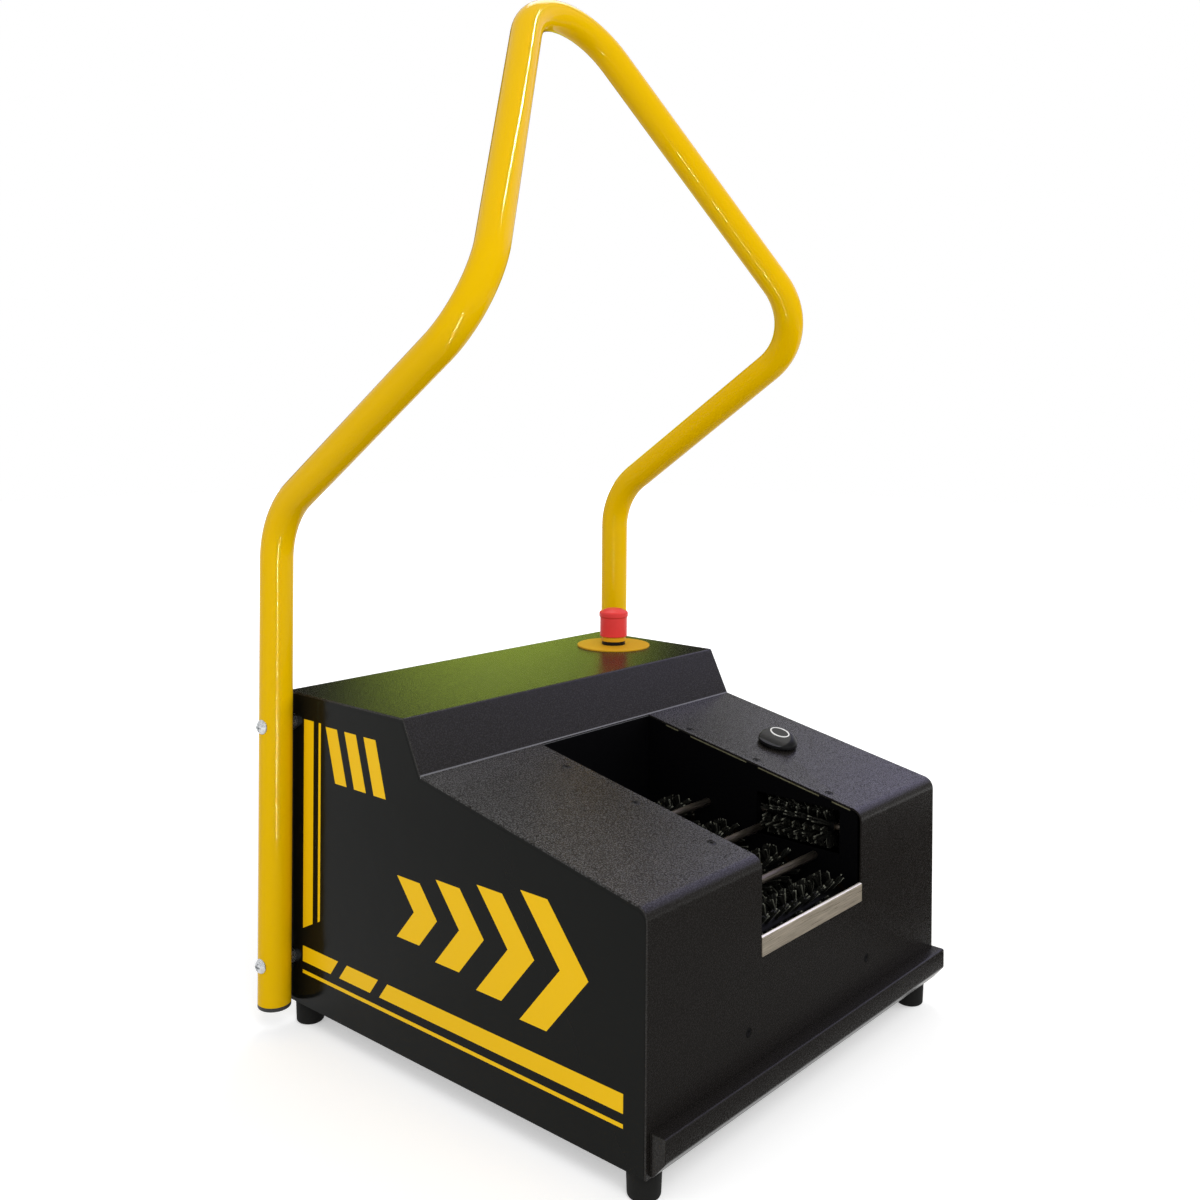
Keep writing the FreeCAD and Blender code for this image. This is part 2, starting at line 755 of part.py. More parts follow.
def roller(index):
    y, z = roller_place(index)
    left = -(s.well_left - s.tuft_end_gap)
    right = s.well_right - s.tuft_end_gap
    name = f"roller_{index + 1}"
    row_step = s.pulley_groove + s.pulley_flange_thick * 2 + s.pulley_gap
    pulley_right = -(s.well_left + s.bearing_length + s.pulley_gap)
    shaft_left = pulley_right - row_step * 2
    shaft_right = s.well_right + s.bearing_length
    core = turned(f"{name}_core", [
        (ZERO, shaft_left), (s.shaft_radius, shaft_left), (s.shaft_radius, left),
        (s.core_radius, left), (s.core_radius, right), (s.shaft_radius, right),
        (s.shaft_radius, shaft_right), (ZERO, shaft_right)])
    node(place(core, y=y, z=z, **ALONG_X), f"{name}_core")
    tufts = turned(f"{name}_tufts", [(s.core_radius, left), (s.tuft_radius, left),
                                     (s.tuft_radius, right), (s.core_radius, right)])
    node(place(tufts, y=y, z=z, **ALONG_X), f"{name}_tufts")
    rows = [1] if index == 0 else [0, 1]
    profile = pulley_profile([pulley_right - row_step * row for row in rows])
    pulleys = turned(f"{name}_pulleys", profile)
    node(place(pulleys, y=y, z=z, **ALONG_X), f"{name}_pulleys")


def pulley_profile(starts):
    """Half section of a flanged pulley with one groove for each start, from right to left."""
    bore = s.shaft_radius + s.fit_play
    flange = s.pulley_flange_thick
    points = [(bore, starts[0])]
    for start in starts:
        points += [(s.pulley_flange_radius, start), (s.pulley_flange_radius, start - flange),
                   (s.pulley_radius, start - flange),
                   (s.pulley_radius, start - flange - s.pulley_groove),
                   (s.pulley_flange_radius, start - flange - s.pulley_groove),
                   (s.pulley_flange_radius, start - flange * 2 - s.pulley_groove)]
        if start is not starts[-1]:
            points += [(s.pulley_radius, start - flange * 2 - s.pulley_groove),
                       (s.pulley_radius, start - flange * 2 - s.pulley_groove - s.pulley_gap)]
    points.append((bore, starts[-1] - flange * 2 - s.pulley_groove))
    return points


def roller_bearings():
    """Flanged bushes in both well walls, one for each end of every roller."""
    bushes = []
    bore = s.shaft_radius + s.fit_play
    for index in range(ROLLERS):
        y, z = roller_place(index)
        for side, sign in SIDES.items():
            bush = turned(f"bush_{side}", [
                (bore, ZERO), (s.bearing_radius, ZERO), (s.bearing_radius, s.sheet_thick),
                (s.bearing_flange_radius, s.sheet_thick),
                (s.bearing_flange_radius, s.sheet_thick + s.bearing_flange_thick),
                (s.bearing_radius, s.sheet_thick + s.bearing_flange_thick),
                (s.bearing_radius, s.bearing_length), (bore, s.bearing_length)])
            way = ALONG_X if sign > 0 else AGAINST_X
            bushes.append(place(bush, x=sign * well_inner[side], y=y, z=z, **way))
    group("roller_bearings", bushes)


def stadium(start, end, radius):
    """Closed wire round two equal circles, in the plane across X."""
    along = (end - start).normalize()
    across = Vector(1, 0, 0).cross(along) * radius
    tip = along * radius
    return Part.Wire([
        Part.LineSegment(start + across, end + across).toShape(),
        Part.Arc(end + across, end + tip, end - across).toShape(),
        Part.LineSegment(end - across, start - across).toShape(),
        Part.Arc(start - across, start - tip, start + across).toShape()])


def belt(index):
    """Flat belt from a roller to the one behind it, and from the last roller to the motor."""
    row_step = s.pulley_groove + s.pulley_flange_thick * 2 + s.pulley_gap
    row = 0 if index % 2 == 1 else 1
    right = -(s.well_left + s.bearing_length + s.pulley_gap + row_step * row + s.pulley_flange_thick
              + s.belt_side_play)
    width = s.pulley_groove - s.belt_side_play * 2
    near = roller_place(index)
    far = roller_place(index + 1) if index + 1 < ROLLERS else (motor_depth, base + s.motor_height)
    start, end = [Vector((right - width).value, y.value, z.value) for y, z in (near, far)]
    inner = s.pulley_radius + s.belt_play
    wide, narrow = [Part.Face(stadium(start, end, radius.value)).extrude(Vector(width.value, 0, 0))
                    for radius in (inner + s.belt_thick, inner)]
    item = doc.addObject("Part::Feature", f"belt_{index + 1}")
    item.Shape = wide.cut(narrow)
    return place(item)


def main_motor():
    y, z = motor_depth, base + s.motor_height
    left = -s.motor_offset
    bell = s.motor_bell_length
    bore = s.shaft_radius + s.fit_play
    housing = turned("main_motor", [
        (bore, left), (s.motor_bell_radius, left), (s.motor_radius, left + bell),
        (s.motor_radius, left + s.motor_length - bell), (s.motor_bell_radius, left + s.motor_length),
        (ZERO, left + s.motor_length), (ZERO, left + s.motor_shaft_seat + s.pulley_gap),
        (bore, left + s.motor_shaft_seat + s.pulley_gap)])
    node(place(housing, y=y, z=z, **ALONG_X), "main_motor")
    pulley_right = -(s.well_left + s.bearing_length + s.pulley_gap)
    tail = pulley_right - s.pulley_groove - s.pulley_flange_thick * 2 - s.pulley_gap
    length = left + s.motor_shaft_seat - tail
    node(cylinder("motor_shaft", s.shaft_radius, length, x=tail, y=y, z=z, **ALONG_X), "motor_shaft")
    pulley = turned("motor_pulley", pulley_profile([pulley_right]))
    node(place(pulley, y=y, z=z, **ALONG_X), "motor_pulley")


def motor_bracket():
    """Folded stand that lifts the motor off the base plate."""
    piece = body("motor_bracket")
    middle = s.motor_length / 2 - s.motor_offset
    foot = base + s.sheet_thick
    top = base + s.motor_height - s.motor_radius
    half_top = s.bracket_top_half
    half_foot = s.bracket_foot_half - s.bracket_foot_reach
    thick = s.bracket_thick
    outer = [(s.bracket_foot_half, foot), (s.bracket_foot_half, foot + thick), (half_foot, foot + thick),
             (half_top, top)]
    inner = [(half_top - thick, top - thick), (half_foot - thick, foot)]
    profile = [(middle + x, z) for x, z in outer]
    profile += [(middle - x, z) for x, z in outer[::-1]]
    profile += [(middle - x, z) for x, z in inner[::-1]]
    profile += [(middle + x, z) for x, z in inner]
    pad(piece, "XZ_Plane", motor_depth - s.bracket_half_depth, motor_depth + s.bracket_half_depth,
        [profile])
    node(place(piece), "motor_bracket")


def side_brush(side):
    """A short brush lying along Y behind a window; returns the small gear motor that drives it."""
    x = SIDES[side] * (well_inner[side] + s.side_brush_set_back)
    z = base + s.side_brush_height
    front = s.window_front + s.side_brush_end_gap
    back = s.window_back - s.side_brush_end_gap
    tail = s.window_front - s.sheet_thick - s.side_shaft_radius
    motor_front = s.window_back + s.sheet_thick + s.side_motor_gap
    nose = motor_front + s.side_shaft_seat
    core = turned(f"side_brush_{side}_core", [
        (ZERO, tail), (s.side_shaft_radius, tail), (s.side_shaft_radius, front),
        (s.side_core_radius, front), (s.side_core_radius, back), (s.side_shaft_radius, back),
        (s.side_shaft_radius, nose), (ZERO, nose)])
    node(place(core, x=x, z=z, **ALONG_Y), f"side_brush_{side}_core")
    tufts = turned(f"side_brush_{side}_tufts", [
        (s.side_core_radius, front), (s.side_tuft_radius, front),
        (s.side_tuft_radius, back), (s.side_core_radius, back)])
    node(place(tufts, x=x, z=z, **ALONG_Y), f"side_brush_{side}_tufts")
    bore = s.side_shaft_radius + s.fit_play
    end = motor_front + s.side_motor_length
    motor = turned(f"side_motor_{side}", [
        (bore, motor_front - s.side_motor_gap), (s.side_motor_radius, motor_front - s.side_motor_gap),
        (s.side_motor_radius, end), (ZERO, end), (ZERO, nose + s.side_motor_gap),
        (bore, nose + s.side_motor_gap)])
    return place(motor, x=x, z=z, **ALONG_Y)


# Dirt drawer

def drawer():
    half = tray_half
    wall = s.drawer_sheet
    floor = base + s.drawer_floor_height
    top = base + s.drawer_top_height
    plate_front = -(s.panel_gap + wall)
    tray = body("drawer_tray")
    pad(tray, "XY_Plane", floor, top, [rectangle(-half, half, -s.panel_gap, s.drawer_back)])
    front = rectangle(-lip_half, lip_half, base + s.lip_bottom_height,
                      base + s.lip_top_height)
    pad(tray, "XZ_Plane", plate_front, -s.panel_gap, [front])
    for side in SIDES:
        low, high = span(side, half, half + s.drawer_rim)
        rim = rectangle(low, high, -s.panel_gap, s.drawer_back)
        pad(tray, "XY_Plane", top - wall, top, [rim])
    hollow = rectangle(-half + wall, half - wall, -s.panel_gap + wall, s.drawer_back - wall)
    cut(tray, "XY_Plane", floor + wall, top + s.cut_overrun, [hollow])
    node(place(tray), "drawer_tray")

    lip = body("drawer_lip")
    proud = -s.lip_proud
    knee = base + s.lip_knee_height
    bottom = base + s.lip_bottom_height
    crown = base + s.lip_top_height
    foot = -s.lip_foot_depth - wall
    outer = [(plate_front, crown), (proud, crown), (proud, knee), (foot, bottom), (plate_front, bottom)]
    pad(lip, "YZ_Plane", -lip_half, lip_half, [outer])
    inner = [(plate_front + s.cut_overrun, crown - wall), (proud + wall, crown - wall),
             (proud + wall, knee), (foot, bottom + wall * 2),
             (plate_front + s.cut_overrun, bottom + wall * 2)]
    cut(lip, "YZ_Plane", -lip_half + wall, lip_half - wall, [inner])
    round_edges(lip, wall, [(proud, crown)])
    node(place(lip), "drawer_lip")


def drawer_runners():
    """Angles on the side panels that the drawer's rims slide on."""
    angles = []
    shelf_top = base + s.drawer_top_height - s.drawer_sheet - s.panel_gap
    for side, sign in SIDES.items():
        piece = body(f"runner_{side}")
        inner = inner_half - s.runner_reach
        edge = inner_half - s.runner_thick
        profile = [(inner_half, base + s.sheet_thick), (inner_half, shelf_top), (inner, shelf_top),
                   (inner, shelf_top - s.runner_thick), (edge, shelf_top - s.runner_thick),
                   (edge, base + s.sheet_thick)]
        pad(piece, "XZ_Plane", s.runner_front, s.drawer_back, [[(sign * x, z) for x, z in profile]])
        angles.append(place(piece))
    group("drawer_runners", angles)


# Handle

def bent_path(points, bend):
    """Straight runs through the points, joined by tangent arcs of one radius."""
    edges = []
    start = points[0]
    for before, corner, after in zip(points, points[1:], points[2:]):
        back = (before - corner).normalize()
        ahead = (after - corner).normalize()
        half_turn = (math.pi - back.getAngle(ahead)) / 2
        trim = bend * math.tan(half_turn)
        rise = bend / math.cos(half_turn) - bend
        bisector = (back + ahead).normalize()
        enter, leave = corner + back * trim, corner + ahead * trim
        edges.append(Part.LineSegment(start, enter).toShape())
        edges.append(Part.Arc(enter, corner + bisector * rise, leave).toShape())
        start = leave
    edges.append(Part.LineSegment(start, points[-1]).toShape())
    return Part.Wire(edges)


def handle_tube():
    """One bent tube: up from both rear corners, forward over the well, and back up to the grip."""
    x, y = handle_half, handle_depth
    leg = [(x, y, base + s.cap_thick), (x, y, base + s.elbow_height),
           (x, handle_depth - s.knee_reach, base + s.knee_height)]
    mirrored = [(-a, b, c) for a, b, c in leg[::-1]]
    corners = leg + [(ZERO, handle_depth - s.apex_reach, base + s.apex_height)] + mirrored
    points = [Vector(*(as_size(value).value for value in corner)) for corner in corners]
    path = bent_path(points, s.handle_bend.value)
    shells = []
    for radius in (s.tube_radius, s.tube_radius - s.tube_wall):
        section = Part.Wire([Part.Circle(points[0], Vector(0, 0, 1), radius.value).toShape()])
        shells.append(path.makePipeShell([section], True, True))
    tube = shells[0].cut(shells[1])
    drill = s.handle_screw_radius + s.hole_play * 2
    for depth, height in handle_screw_places():
        for sign in SIDES.values():
            start = Vector(sign * (x - s.tube_radius * 2).value, depth.value, height.value)
            tube = tube.cut(Part.makeCylinder(drill.value, (s.tube_radius * 4).value, start,
                                              Vector(sign, 0, 0)))
    item = doc.addObject("Part::Feature", "handle_tube")
    item.Shape = tube
    node(place(item), "handle_tube")


def handle_fittings():
    """End caps, screws and saddle spacers of the handle's two legs."""
    caps, screws, spacers = [], [], []
    plug = s.tube_radius - s.tube_wall - s.fit_play
    head = s.handle_screw_head_radius
    tall = s.handle_screw_head_height
    reach = handle_half + s.tube_radius - inner_half + s.post_thick
    for side, sign in SIDES.items():
        x = sign * handle_half
        cap = turned(f"cap_{side}", [
            (ZERO, ZERO), (s.tube_radius, ZERO), (s.tube_radius, s.cap_thick), (plug, s.cap_thick),
            (plug, s.cap_thick + s.cap_plug_length), (ZERO, s.cap_thick + s.cap_plug_length)])
        caps.append(place(cap, x=x, y=handle_depth, z=base))
        way = ALONG_X if sign > 0 else AGAINST_X
        for depth, height in handle_screw_places():
            screw = turned(f"handle_screw_{side}", [
                (ZERO, -reach), (s.handle_screw_radius, -reach), (s.handle_screw_radius, ZERO),
                (head, ZERO), (head, tall / 3), (head * 2 / 3, tall * 5 / 6), (head / 4, tall),
                (ZERO, tall)])
            outer_face = sign * (handle_half + s.tube_radius)
            screws.append(place(screw, x=outer_face, y=depth, z=height, **way))
            gap = handle_half - s.tube_radius - half_width
            blank = cylinder(f"spacer_{side}", s.spacer_radius, gap + s.spacer_wrap,
                             x=sign * half_width, y=depth, z=height, **way)
            tube = cylinder(f"spacer_saddle_{side}", s.tube_radius + s.fit_play, s.spacer_radius * 4,
                            x=x, y=handle_depth, z=height - s.spacer_radius * 2)
            drill = cylinder(f"spacer_drill_{side}", s.handle_screw_radius + s.hole_play,
                             gap + s.spacer_wrap, x=sign * half_width, y=depth, z=height, **way)
            spacers.append(carved(f"spacer_{side}", blank, [tube, drill]))
    group("handle_end_caps", caps)
    group("handle_screws", screws)
    group("handle_spacers", spacers)


# Stop switch

def stop_switch():
    where = {"x": stop_offset, "y": stop_depth, "z": top_of_housing}
    hole = s.stop_barrel_radius + s.fit_play
    plate_top = s.stop_plate_thick
    plate = turned("stop_plate", [(hole, ZERO), (s.stop_plate_radius, ZERO),
                                  (s.stop_plate_radius, plate_top), (hole, plate_top)])
    node(place(plate, **where), "stop_plate")

    bore = s.stop_stem_radius + s.fit_play
    ring_top = s.stop_ring_height
    barrel_end = -s.stop_barrel_drop
    ring_body = turned("stop_base_ring", [
        (bore, ring_top), (s.stop_ring_radius, ring_top), (s.stop_ring_radius, plate_top),
        (s.stop_barrel_radius, plate_top), (s.stop_barrel_radius, barrel_end), (bore, barrel_end)])
    node(place(ring_body, **where), "stop_base_ring")

    collar_top = ring_top + s.stop_collar_height
    collar = turned("stop_collar", [(bore, ring_top), (s.stop_collar_radius, ring_top),
                                    (s.stop_collar_radius, collar_top), (bore, collar_top)])
    node(place(collar, **where), "stop_collar")

    nut_top = -s.sheet_thick
    nut = turned("stop_lock_nut", [
        (hole, nut_top), (s.stop_nut_radius, nut_top), (s.stop_nut_radius, nut_top - s.stop_nut_thick),
        (hole, nut_top - s.stop_nut_thick)])
    node(place(nut, **where), "stop_lock_nut")

    top = top_of_housing - s.stop_barrel_drop
    low = (stop_offset - s.contact_block_width / 2, stop_depth - s.contact_block_depth / 2,
           top - s.contact_block_height)
    high = (stop_offset + s.contact_block_width / 2, stop_depth + s.contact_block_depth / 2, top)
    node(box("stop_contact_block", low, high), "stop_contact_block")

    skirt = collar_top + s.stop_head_gap
    roof = skirt + s.stop_skirt_depth
    rim_bottom = skirt + s.stop_head_height - s.stop_rim_height
    rim_top = skirt + s.stop_head_height
    stem_top = rim_bottom
    stem = turned("stop_stem", [(ZERO, -s.stop_stem_drop), (s.stop_stem_radius, -s.stop_stem_drop),
                                (s.stop_stem_radius, stem_top), (ZERO, stem_top)])
    node(place(stem, **where), "stop_stem")

    skirt_bore = s.stop_collar_radius + s.stop_head_gap
    head = turned("stop_button", [
        (ZERO, rim_top + s.stop_dome_height), (s.stop_dome_flat, rim_top + s.stop_dome_height * 4 / 5),
        (s.stop_rim_radius, rim_top), (s.stop_rim_radius, rim_bottom), (s.stop_head_radius, rim_bottom),
        (s.stop_head_radius, skirt), (skirt_bore, skirt), (skirt_bore, roof), (bore, roof),
        (bore, stem_top + s.fit_play), (ZERO, stem_top + s.fit_play)])
    node(place(head, **where), "stop_button")


# Start button

def start_switch():
    where = {"x": start_offset, "y": s.start_depth, "z": deck_height(s.start_depth)}
    bore = s.start_stem_radius + s.fit_play
    drop = -s.start_barrel_drop
    bezel = turned("start_bezel", [
        (bore, s.start_bezel_height), (s.start_bezel_radius, s.start_bezel_height),
        (s.start_bezel_radius, ZERO), (s.start_barrel_radius, ZERO), (s.start_barrel_radius, drop),
        (bore, drop)])
    node(place(bezel, **where, **OFF_DECK), "start_bezel")

    low = s.start_gap
    roof = low + s.start_hollow
    inner = s.start_radius - s.start_wall
    button = turned("start_button", [
        (ZERO, s.start_height), (s.start_shoulder / 2, s.start_height * 23 / 24),
        (s.start_shoulder, s.start_height * 5 / 6), (s.start_radius, s.start_side_height),
        (s.start_radius, low), (inner, low), (inner, roof), (s.start_stem_radius, roof),
        (s.start_stem_radius, -s.start_stem_drop), (ZERO, -s.start_stem_drop)])
    node(place(button, **where, **OFF_DECK), "start_button")

    switch = turned("start_switch_body", [
        (ZERO, drop), (s.start_body_radius, drop), (s.start_body_radius, drop - s.start_body_height),
        (ZERO, drop - s.start_body_height)])
    node(place(switch, **where, **OFF_DECK), "start_switch_body")


# Control box and inlet

def control_box():
    piece = body("control_box")
    floor = base + s.sheet_thick
    top = base + s.box_top
    right = half_width - s.box_side_gap
    left = right - s.box_width
    back = s.housing_depth - s.box_back_gap
    front = back - s.box_depth
    pad(piece, "XY_Plane", floor, top, [rectangle(left, right, front, back)])
    hollow = rectangle(left + s.box_wall, right - s.box_wall, front + s.box_wall, back - s.box_wall)
    cut(piece, "XY_Plane", floor + s.box_wall, top + s.cut_overrun, [hollow])
    node(place(piece), "control_box")
    lid = box("control_box_lid", (left, front, top), (right, back, top + s.lid_thick))
    node(lid, "control_box_lid")


def cable_gland():
    """Screwed inlet for a mains lead, with its nut inside the rear panel."""
    outer = s.housing_depth
    where = {"x": -gland_offset, "y": outer, "z": base + s.gland_height}
    inside = -(s.sheet_thick + s.gland_inner_length)
    nose = s.gland_flange_thick + s.gland_nose_length
    gland = turned("cable_gland", [
        (s.gland_bore_radius, inside), (s.gland_radius, inside), (s.gland_radius, ZERO),
        (s.gland_flange_radius, ZERO), (s.gland_flange_radius, s.gland_flange_thick),
        (s.gland_radius, s.gland_flange_thick), (s.gland_radius * 4 / 5, nose),
        (s.gland_bore_radius, nose)])
    node(place(gland, **where, **ALONG_Y), "cable_gland")
    thread = s.gland_radius + s.fit_play
    nut_front = -s.sheet_thick
    nut = turned("gland_nut", [
        (thread, nut_front), (s.gland_flange_radius, nut_front),
        (s.gland_flange_radius, nut_front - s.gland_nut_thick), (thread, nut_front - s.gland_nut_thick)])
    node(place(nut, **where, **ALONG_Y), "gland_nut")


top_cover()
rear_panel()
base_plate()
rear_posts()
rubber_feet()
for side in SIDES:
    side_panel(side)
    well_wall(side)
group("side_motors", [side_brush(side) for side in SIDES])
well_wall_rear()
support_rods()
edge_strip()
front_rail()
cover_screws()
for index in range(ROLLERS):
    roller(index)
group("drive_belts", [belt(index) for index in range(ROLLERS)])
roller_bearings()
main_motor()
motor_bracket()
drawer()
drawer_runners()
handle_tube()
handle_fittings()
stop_switch()
start_switch()
control_box()
cable_gland()
doc.recompute()

failed = [item.Name for item in doc.Objects if {"Invalid", "Error"} & set(item.State)]
failed += [item.Label for item in nodes if item.Shape.isNull() or not item.Shape.isValid()]
if failed:
    raise RuntimeError(f"these objects failed: {failed}")

os.makedirs("parts", exist_ok=True)
for item in nodes:
    item.Shape.exportStep(f"parts/{item.Label}.step")
    bounds = item.Shape.BoundBox
    print(f"{item.Label:24s} {len(item.Shape.Solids)} solids, volume {item.Shape.Volume:10.0f}, "
          f"x {bounds.XMin:7.1f} {bounds.XMax:7.1f}  y {bounds.YMin:7.1f} {bounds.YMax:7.1f}  "
          f"z {bounds.ZMin:7.1f} {bounds.ZMax:7.1f}")
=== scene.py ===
"""Looks of a sole cleaning machine: a folded steel housing with four brush rollers in an open well."""
import json
import math

import bmesh
import bpy
import numpy as np
from mathutils import Matrix, Vector


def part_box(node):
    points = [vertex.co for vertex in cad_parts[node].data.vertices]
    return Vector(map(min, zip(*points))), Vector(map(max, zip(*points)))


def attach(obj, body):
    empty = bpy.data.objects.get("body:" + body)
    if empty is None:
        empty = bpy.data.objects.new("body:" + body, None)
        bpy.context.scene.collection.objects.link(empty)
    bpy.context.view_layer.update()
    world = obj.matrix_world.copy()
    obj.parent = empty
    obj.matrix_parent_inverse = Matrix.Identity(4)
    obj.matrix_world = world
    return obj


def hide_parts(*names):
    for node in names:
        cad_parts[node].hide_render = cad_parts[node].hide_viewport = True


bl_info = {
    "name": "Sole cleaning machine",
    "version": (1, 0, 0),
    "blender": (4, 5, 0),
    "location": "3D View > Sidebar > Sole Cleaner",
    "description": "Builds the shown pieces of a sole cleaning machine around its packed frame",
    "category": "Object",
}

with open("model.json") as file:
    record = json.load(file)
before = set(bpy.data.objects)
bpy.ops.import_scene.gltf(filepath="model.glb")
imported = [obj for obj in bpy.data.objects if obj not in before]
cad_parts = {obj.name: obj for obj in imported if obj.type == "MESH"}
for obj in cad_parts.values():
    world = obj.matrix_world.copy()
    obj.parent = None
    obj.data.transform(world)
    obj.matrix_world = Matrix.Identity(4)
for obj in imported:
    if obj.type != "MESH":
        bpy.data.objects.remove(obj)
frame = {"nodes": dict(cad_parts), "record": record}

MM = 0.001
COVER_LOW, COVER_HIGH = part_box("top_cover")
FRONT, BACK = COVER_LOW.y, COVER_HIGH.y
HALF_WIDTH, TOP = COVER_HIGH.x, COVER_HIGH.z
BOTTOM = COVER_LOW.z
WELL_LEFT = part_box("well_wall_left")[1].x
WELL_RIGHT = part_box("well_wall_right")[0].x
BEND_STEPS = 10
SHARP = 30.0  # degrees from which an edge is shown sharp
SEAT_RADIUS, SEAT_DEPTH = 0.0043, 0.00125  # of the hollows that the flush screws sit in


def linear(colour):
    """Turns an sRGB hex colour into the linear red, green and blue that a shader takes."""
    channels = [int(colour[i:i + 2], 16) / 255 for i in (1, 3, 5)]
    return tuple(c / 12.92 if c <= 0.04045 else ((c + 0.055) / 1.055) ** 2.4 for c in channels)


def length(name, description, default):
    """A property for a size in metres."""
    return bpy.props.FloatProperty(name=name, description=description, default=default,
                                   min=0.0, precision=4, unit="LENGTH")


def colour(name, description, default):
    """A property for a colour whose default is given as hex."""
    return bpy.props.FloatVectorProperty(name=name, description=description, size=3,
                                         subtype="COLOR", min=0.0, max=1.0, default=linear(default))


class HousingSizes(bpy.types.PropertyGroup):
    """The folded cover, as seen from the side. Depths are from the front face, heights from the floor."""

    deck_front: length("Deck front height", "Height at which the deck meets the front face", 0.2395)
    foot_depth: length("Slope foot depth", "Depth at which the deck meets the slope", 0.272)
    foot_height: length("Slope foot height", "Height at which the deck meets the slope", 0.2935)
    edge_depth: length("Top edge depth", "Depth at which the slope meets the top plate", 0.297)
    front_bend: length("Front bend", "Outer radius between front face and deck", 0.012)
    foot_bend: length("Foot bend", "Radius in the corner at the foot of the slope", 0.0015)
    top_bend: length("Top bend", "Outer radius between slope and top plate", 0.003)
    sheet: length("Sheet", "Thickness of the steel sheet", 0.002)
    edge_round: length("Edge round", "Rounding that the coat leaves on a cut edge", 0.0006)
    notch_height: length("Notch height", "Height of the front face below the well", 0.169)
    opening_top: length("Drawer opening", "Height of the top of the drawer's opening", 0.058)
    opening_half: length("Drawer opening half width", "Half the width of that opening", 0.230)
    film: length("Film", "Thickness of the film on each side", 0.00015)
    film_margin: length("Film margin", "Bare edge left round the film", 0.0025)


class HandleSizes(bpy.types.PropertyGroup):
    """The bent tube, with heights from the floor and depths from its rear legs."""

    radius: length("Tube radius", "Outer radius of the tube", 0.01685)
    wall: length("Tube wall", "Wall of the tube", 0.0026)
    cap: length("Cap", "Height of the cap under each leg", 0.0045)
    elbow_height: length("Elbow height", "Height of the corner above each leg", 0.525)
    knee_height: length("Knee height", "Height of the foremost corners", 0.730)
    knee_reach: length("Knee reach", "Depth from the legs forward to those corners", 0.302)
    apex_height: length("Apex height", "Height of the top corner before it is rounded", 1.141)
    apex_reach: length("Apex reach", "Depth from the legs forward to the top corner", 0.108)
    bend: length("Bend", "Radius of each bend on the tube's centre line", 0.083)
    screw_low: length("Lower screw height", "Height of the lower screws", 0.0705)
    screw_high: length("Upper screw height", "Height of the upper screws", 0.313)


class BrushSizes(bpy.types.PropertyGroup):
    """The tufts that stand on the rollers and on the side brushes."""

    roller_core: length("Roller core", "Radius of a roller's core", 0.012)
    roller_tuft: length("Roller tufts", "Radius that a roller's tufts reach", 0.026)
    side_core: length("Side core", "Radius of a side brush's core", 0.008)
    side_tuft: length("Side tufts", "Radius that a side brush's tufts reach", 0.023)
    strand: length("Strand", "Thickness of one strand of a tuft", 0.0013)
    tuft_long: length("Tuft spread", "Spread of a tuft's tip along the axis", 0.0085)
    tuft_short: length("Tuft width", "Width of a tuft's tip across that", 0.0028)
    tuft_lean: length("Tuft lean", "Shift of a tuft's tip along the axis", 0.0070)


class Colours(bpy.types.PropertyGroup):
    """The colours that a user would change."""

    housing: colour("Housing", "Powder coat of the housing", "#1A1816")
    housing_speck: colour("Housing speck", "Lighter specks in that coat", "#1F1D1B")
    film: colour("Film", "Film on the sides", "#0D0E0C")
    decal: colour("Decals", "Cut shapes on the sides", "#EFBE08")
    handle: colour("Handle", "Powder coat of the handle", "#E2B400")
    stop_head: colour("Stop head", "Head of the stop switch", "#E2403F")
    stop_plate: colour("Stop plate", "Plate under the stop switch", "#D3A01E")


def unit(vectors):
    """Vectors divided by their own lengths."""
    vectors = np.asarray(vectors, float)
    return vectors / np.linalg.norm(vectors, axis=-1, keepdims=True)


def grid_faces(rows, columns, wrap_rows=False, wrap_columns=False):
    """Four-cornered faces of a grid counted row by row; a wrapped side joins its last line to its first."""
    down, along = np.meshgrid(np.arange(rows if wrap_rows else rows - 1),
                              np.arange(columns if wrap_columns else columns - 1), indexing="ij")
    below, beside = (down + 1) % rows, (along + 1) % columns
    corners = [down * columns + along, below * columns + along,
               below * columns + beside, down * columns + beside]
    return np.stack(corners, -1).reshape(-1, 4)


def rounded(corners, radii, steps=8):
    """A path with its inner corners rounded. Each bend is the arc that touches both its runs:
    centre + (sin((1 - t) s) a + sin(t s) b) / sin(s) for an arc of sweep s from a to b, t from 0 to 1."""
    corners = np.asarray(corners, float)
    t = np.linspace(0, 1, steps + 1)[:, None]
    path = [corners[:1]]
    for before, corner, after, radius in zip(corners, corners[1:], corners[2:], radii):
        back, ahead = unit(before - corner), unit(after - corner)
        half = np.arccos(np.clip(back @ ahead, -1, 1)) / 2
        centre = corner + unit(back + ahead) * radius / np.sin(half)
        start = corner + back * radius / np.tan(half) - centre
        end = corner + ahead * radius / np.tan(half) - centre
        sweep = math.pi - 2 * half
        path.append(centre + (np.sin((1 - t) * sweep) * start + np.sin(t * sweep) * end) / np.sin(sweep))
    return np.concatenate(path + [corners[-1:]])


def rounded_loop(corners, radii, steps=6):
    """A closed outline with every corner rounded by its own radius."""
    corners = np.asarray(corners, float)
    middle = (corners[:1] + corners[-1:]) / 2
    return rounded(np.concatenate([middle, corners, middle]), radii, steps)[1:]


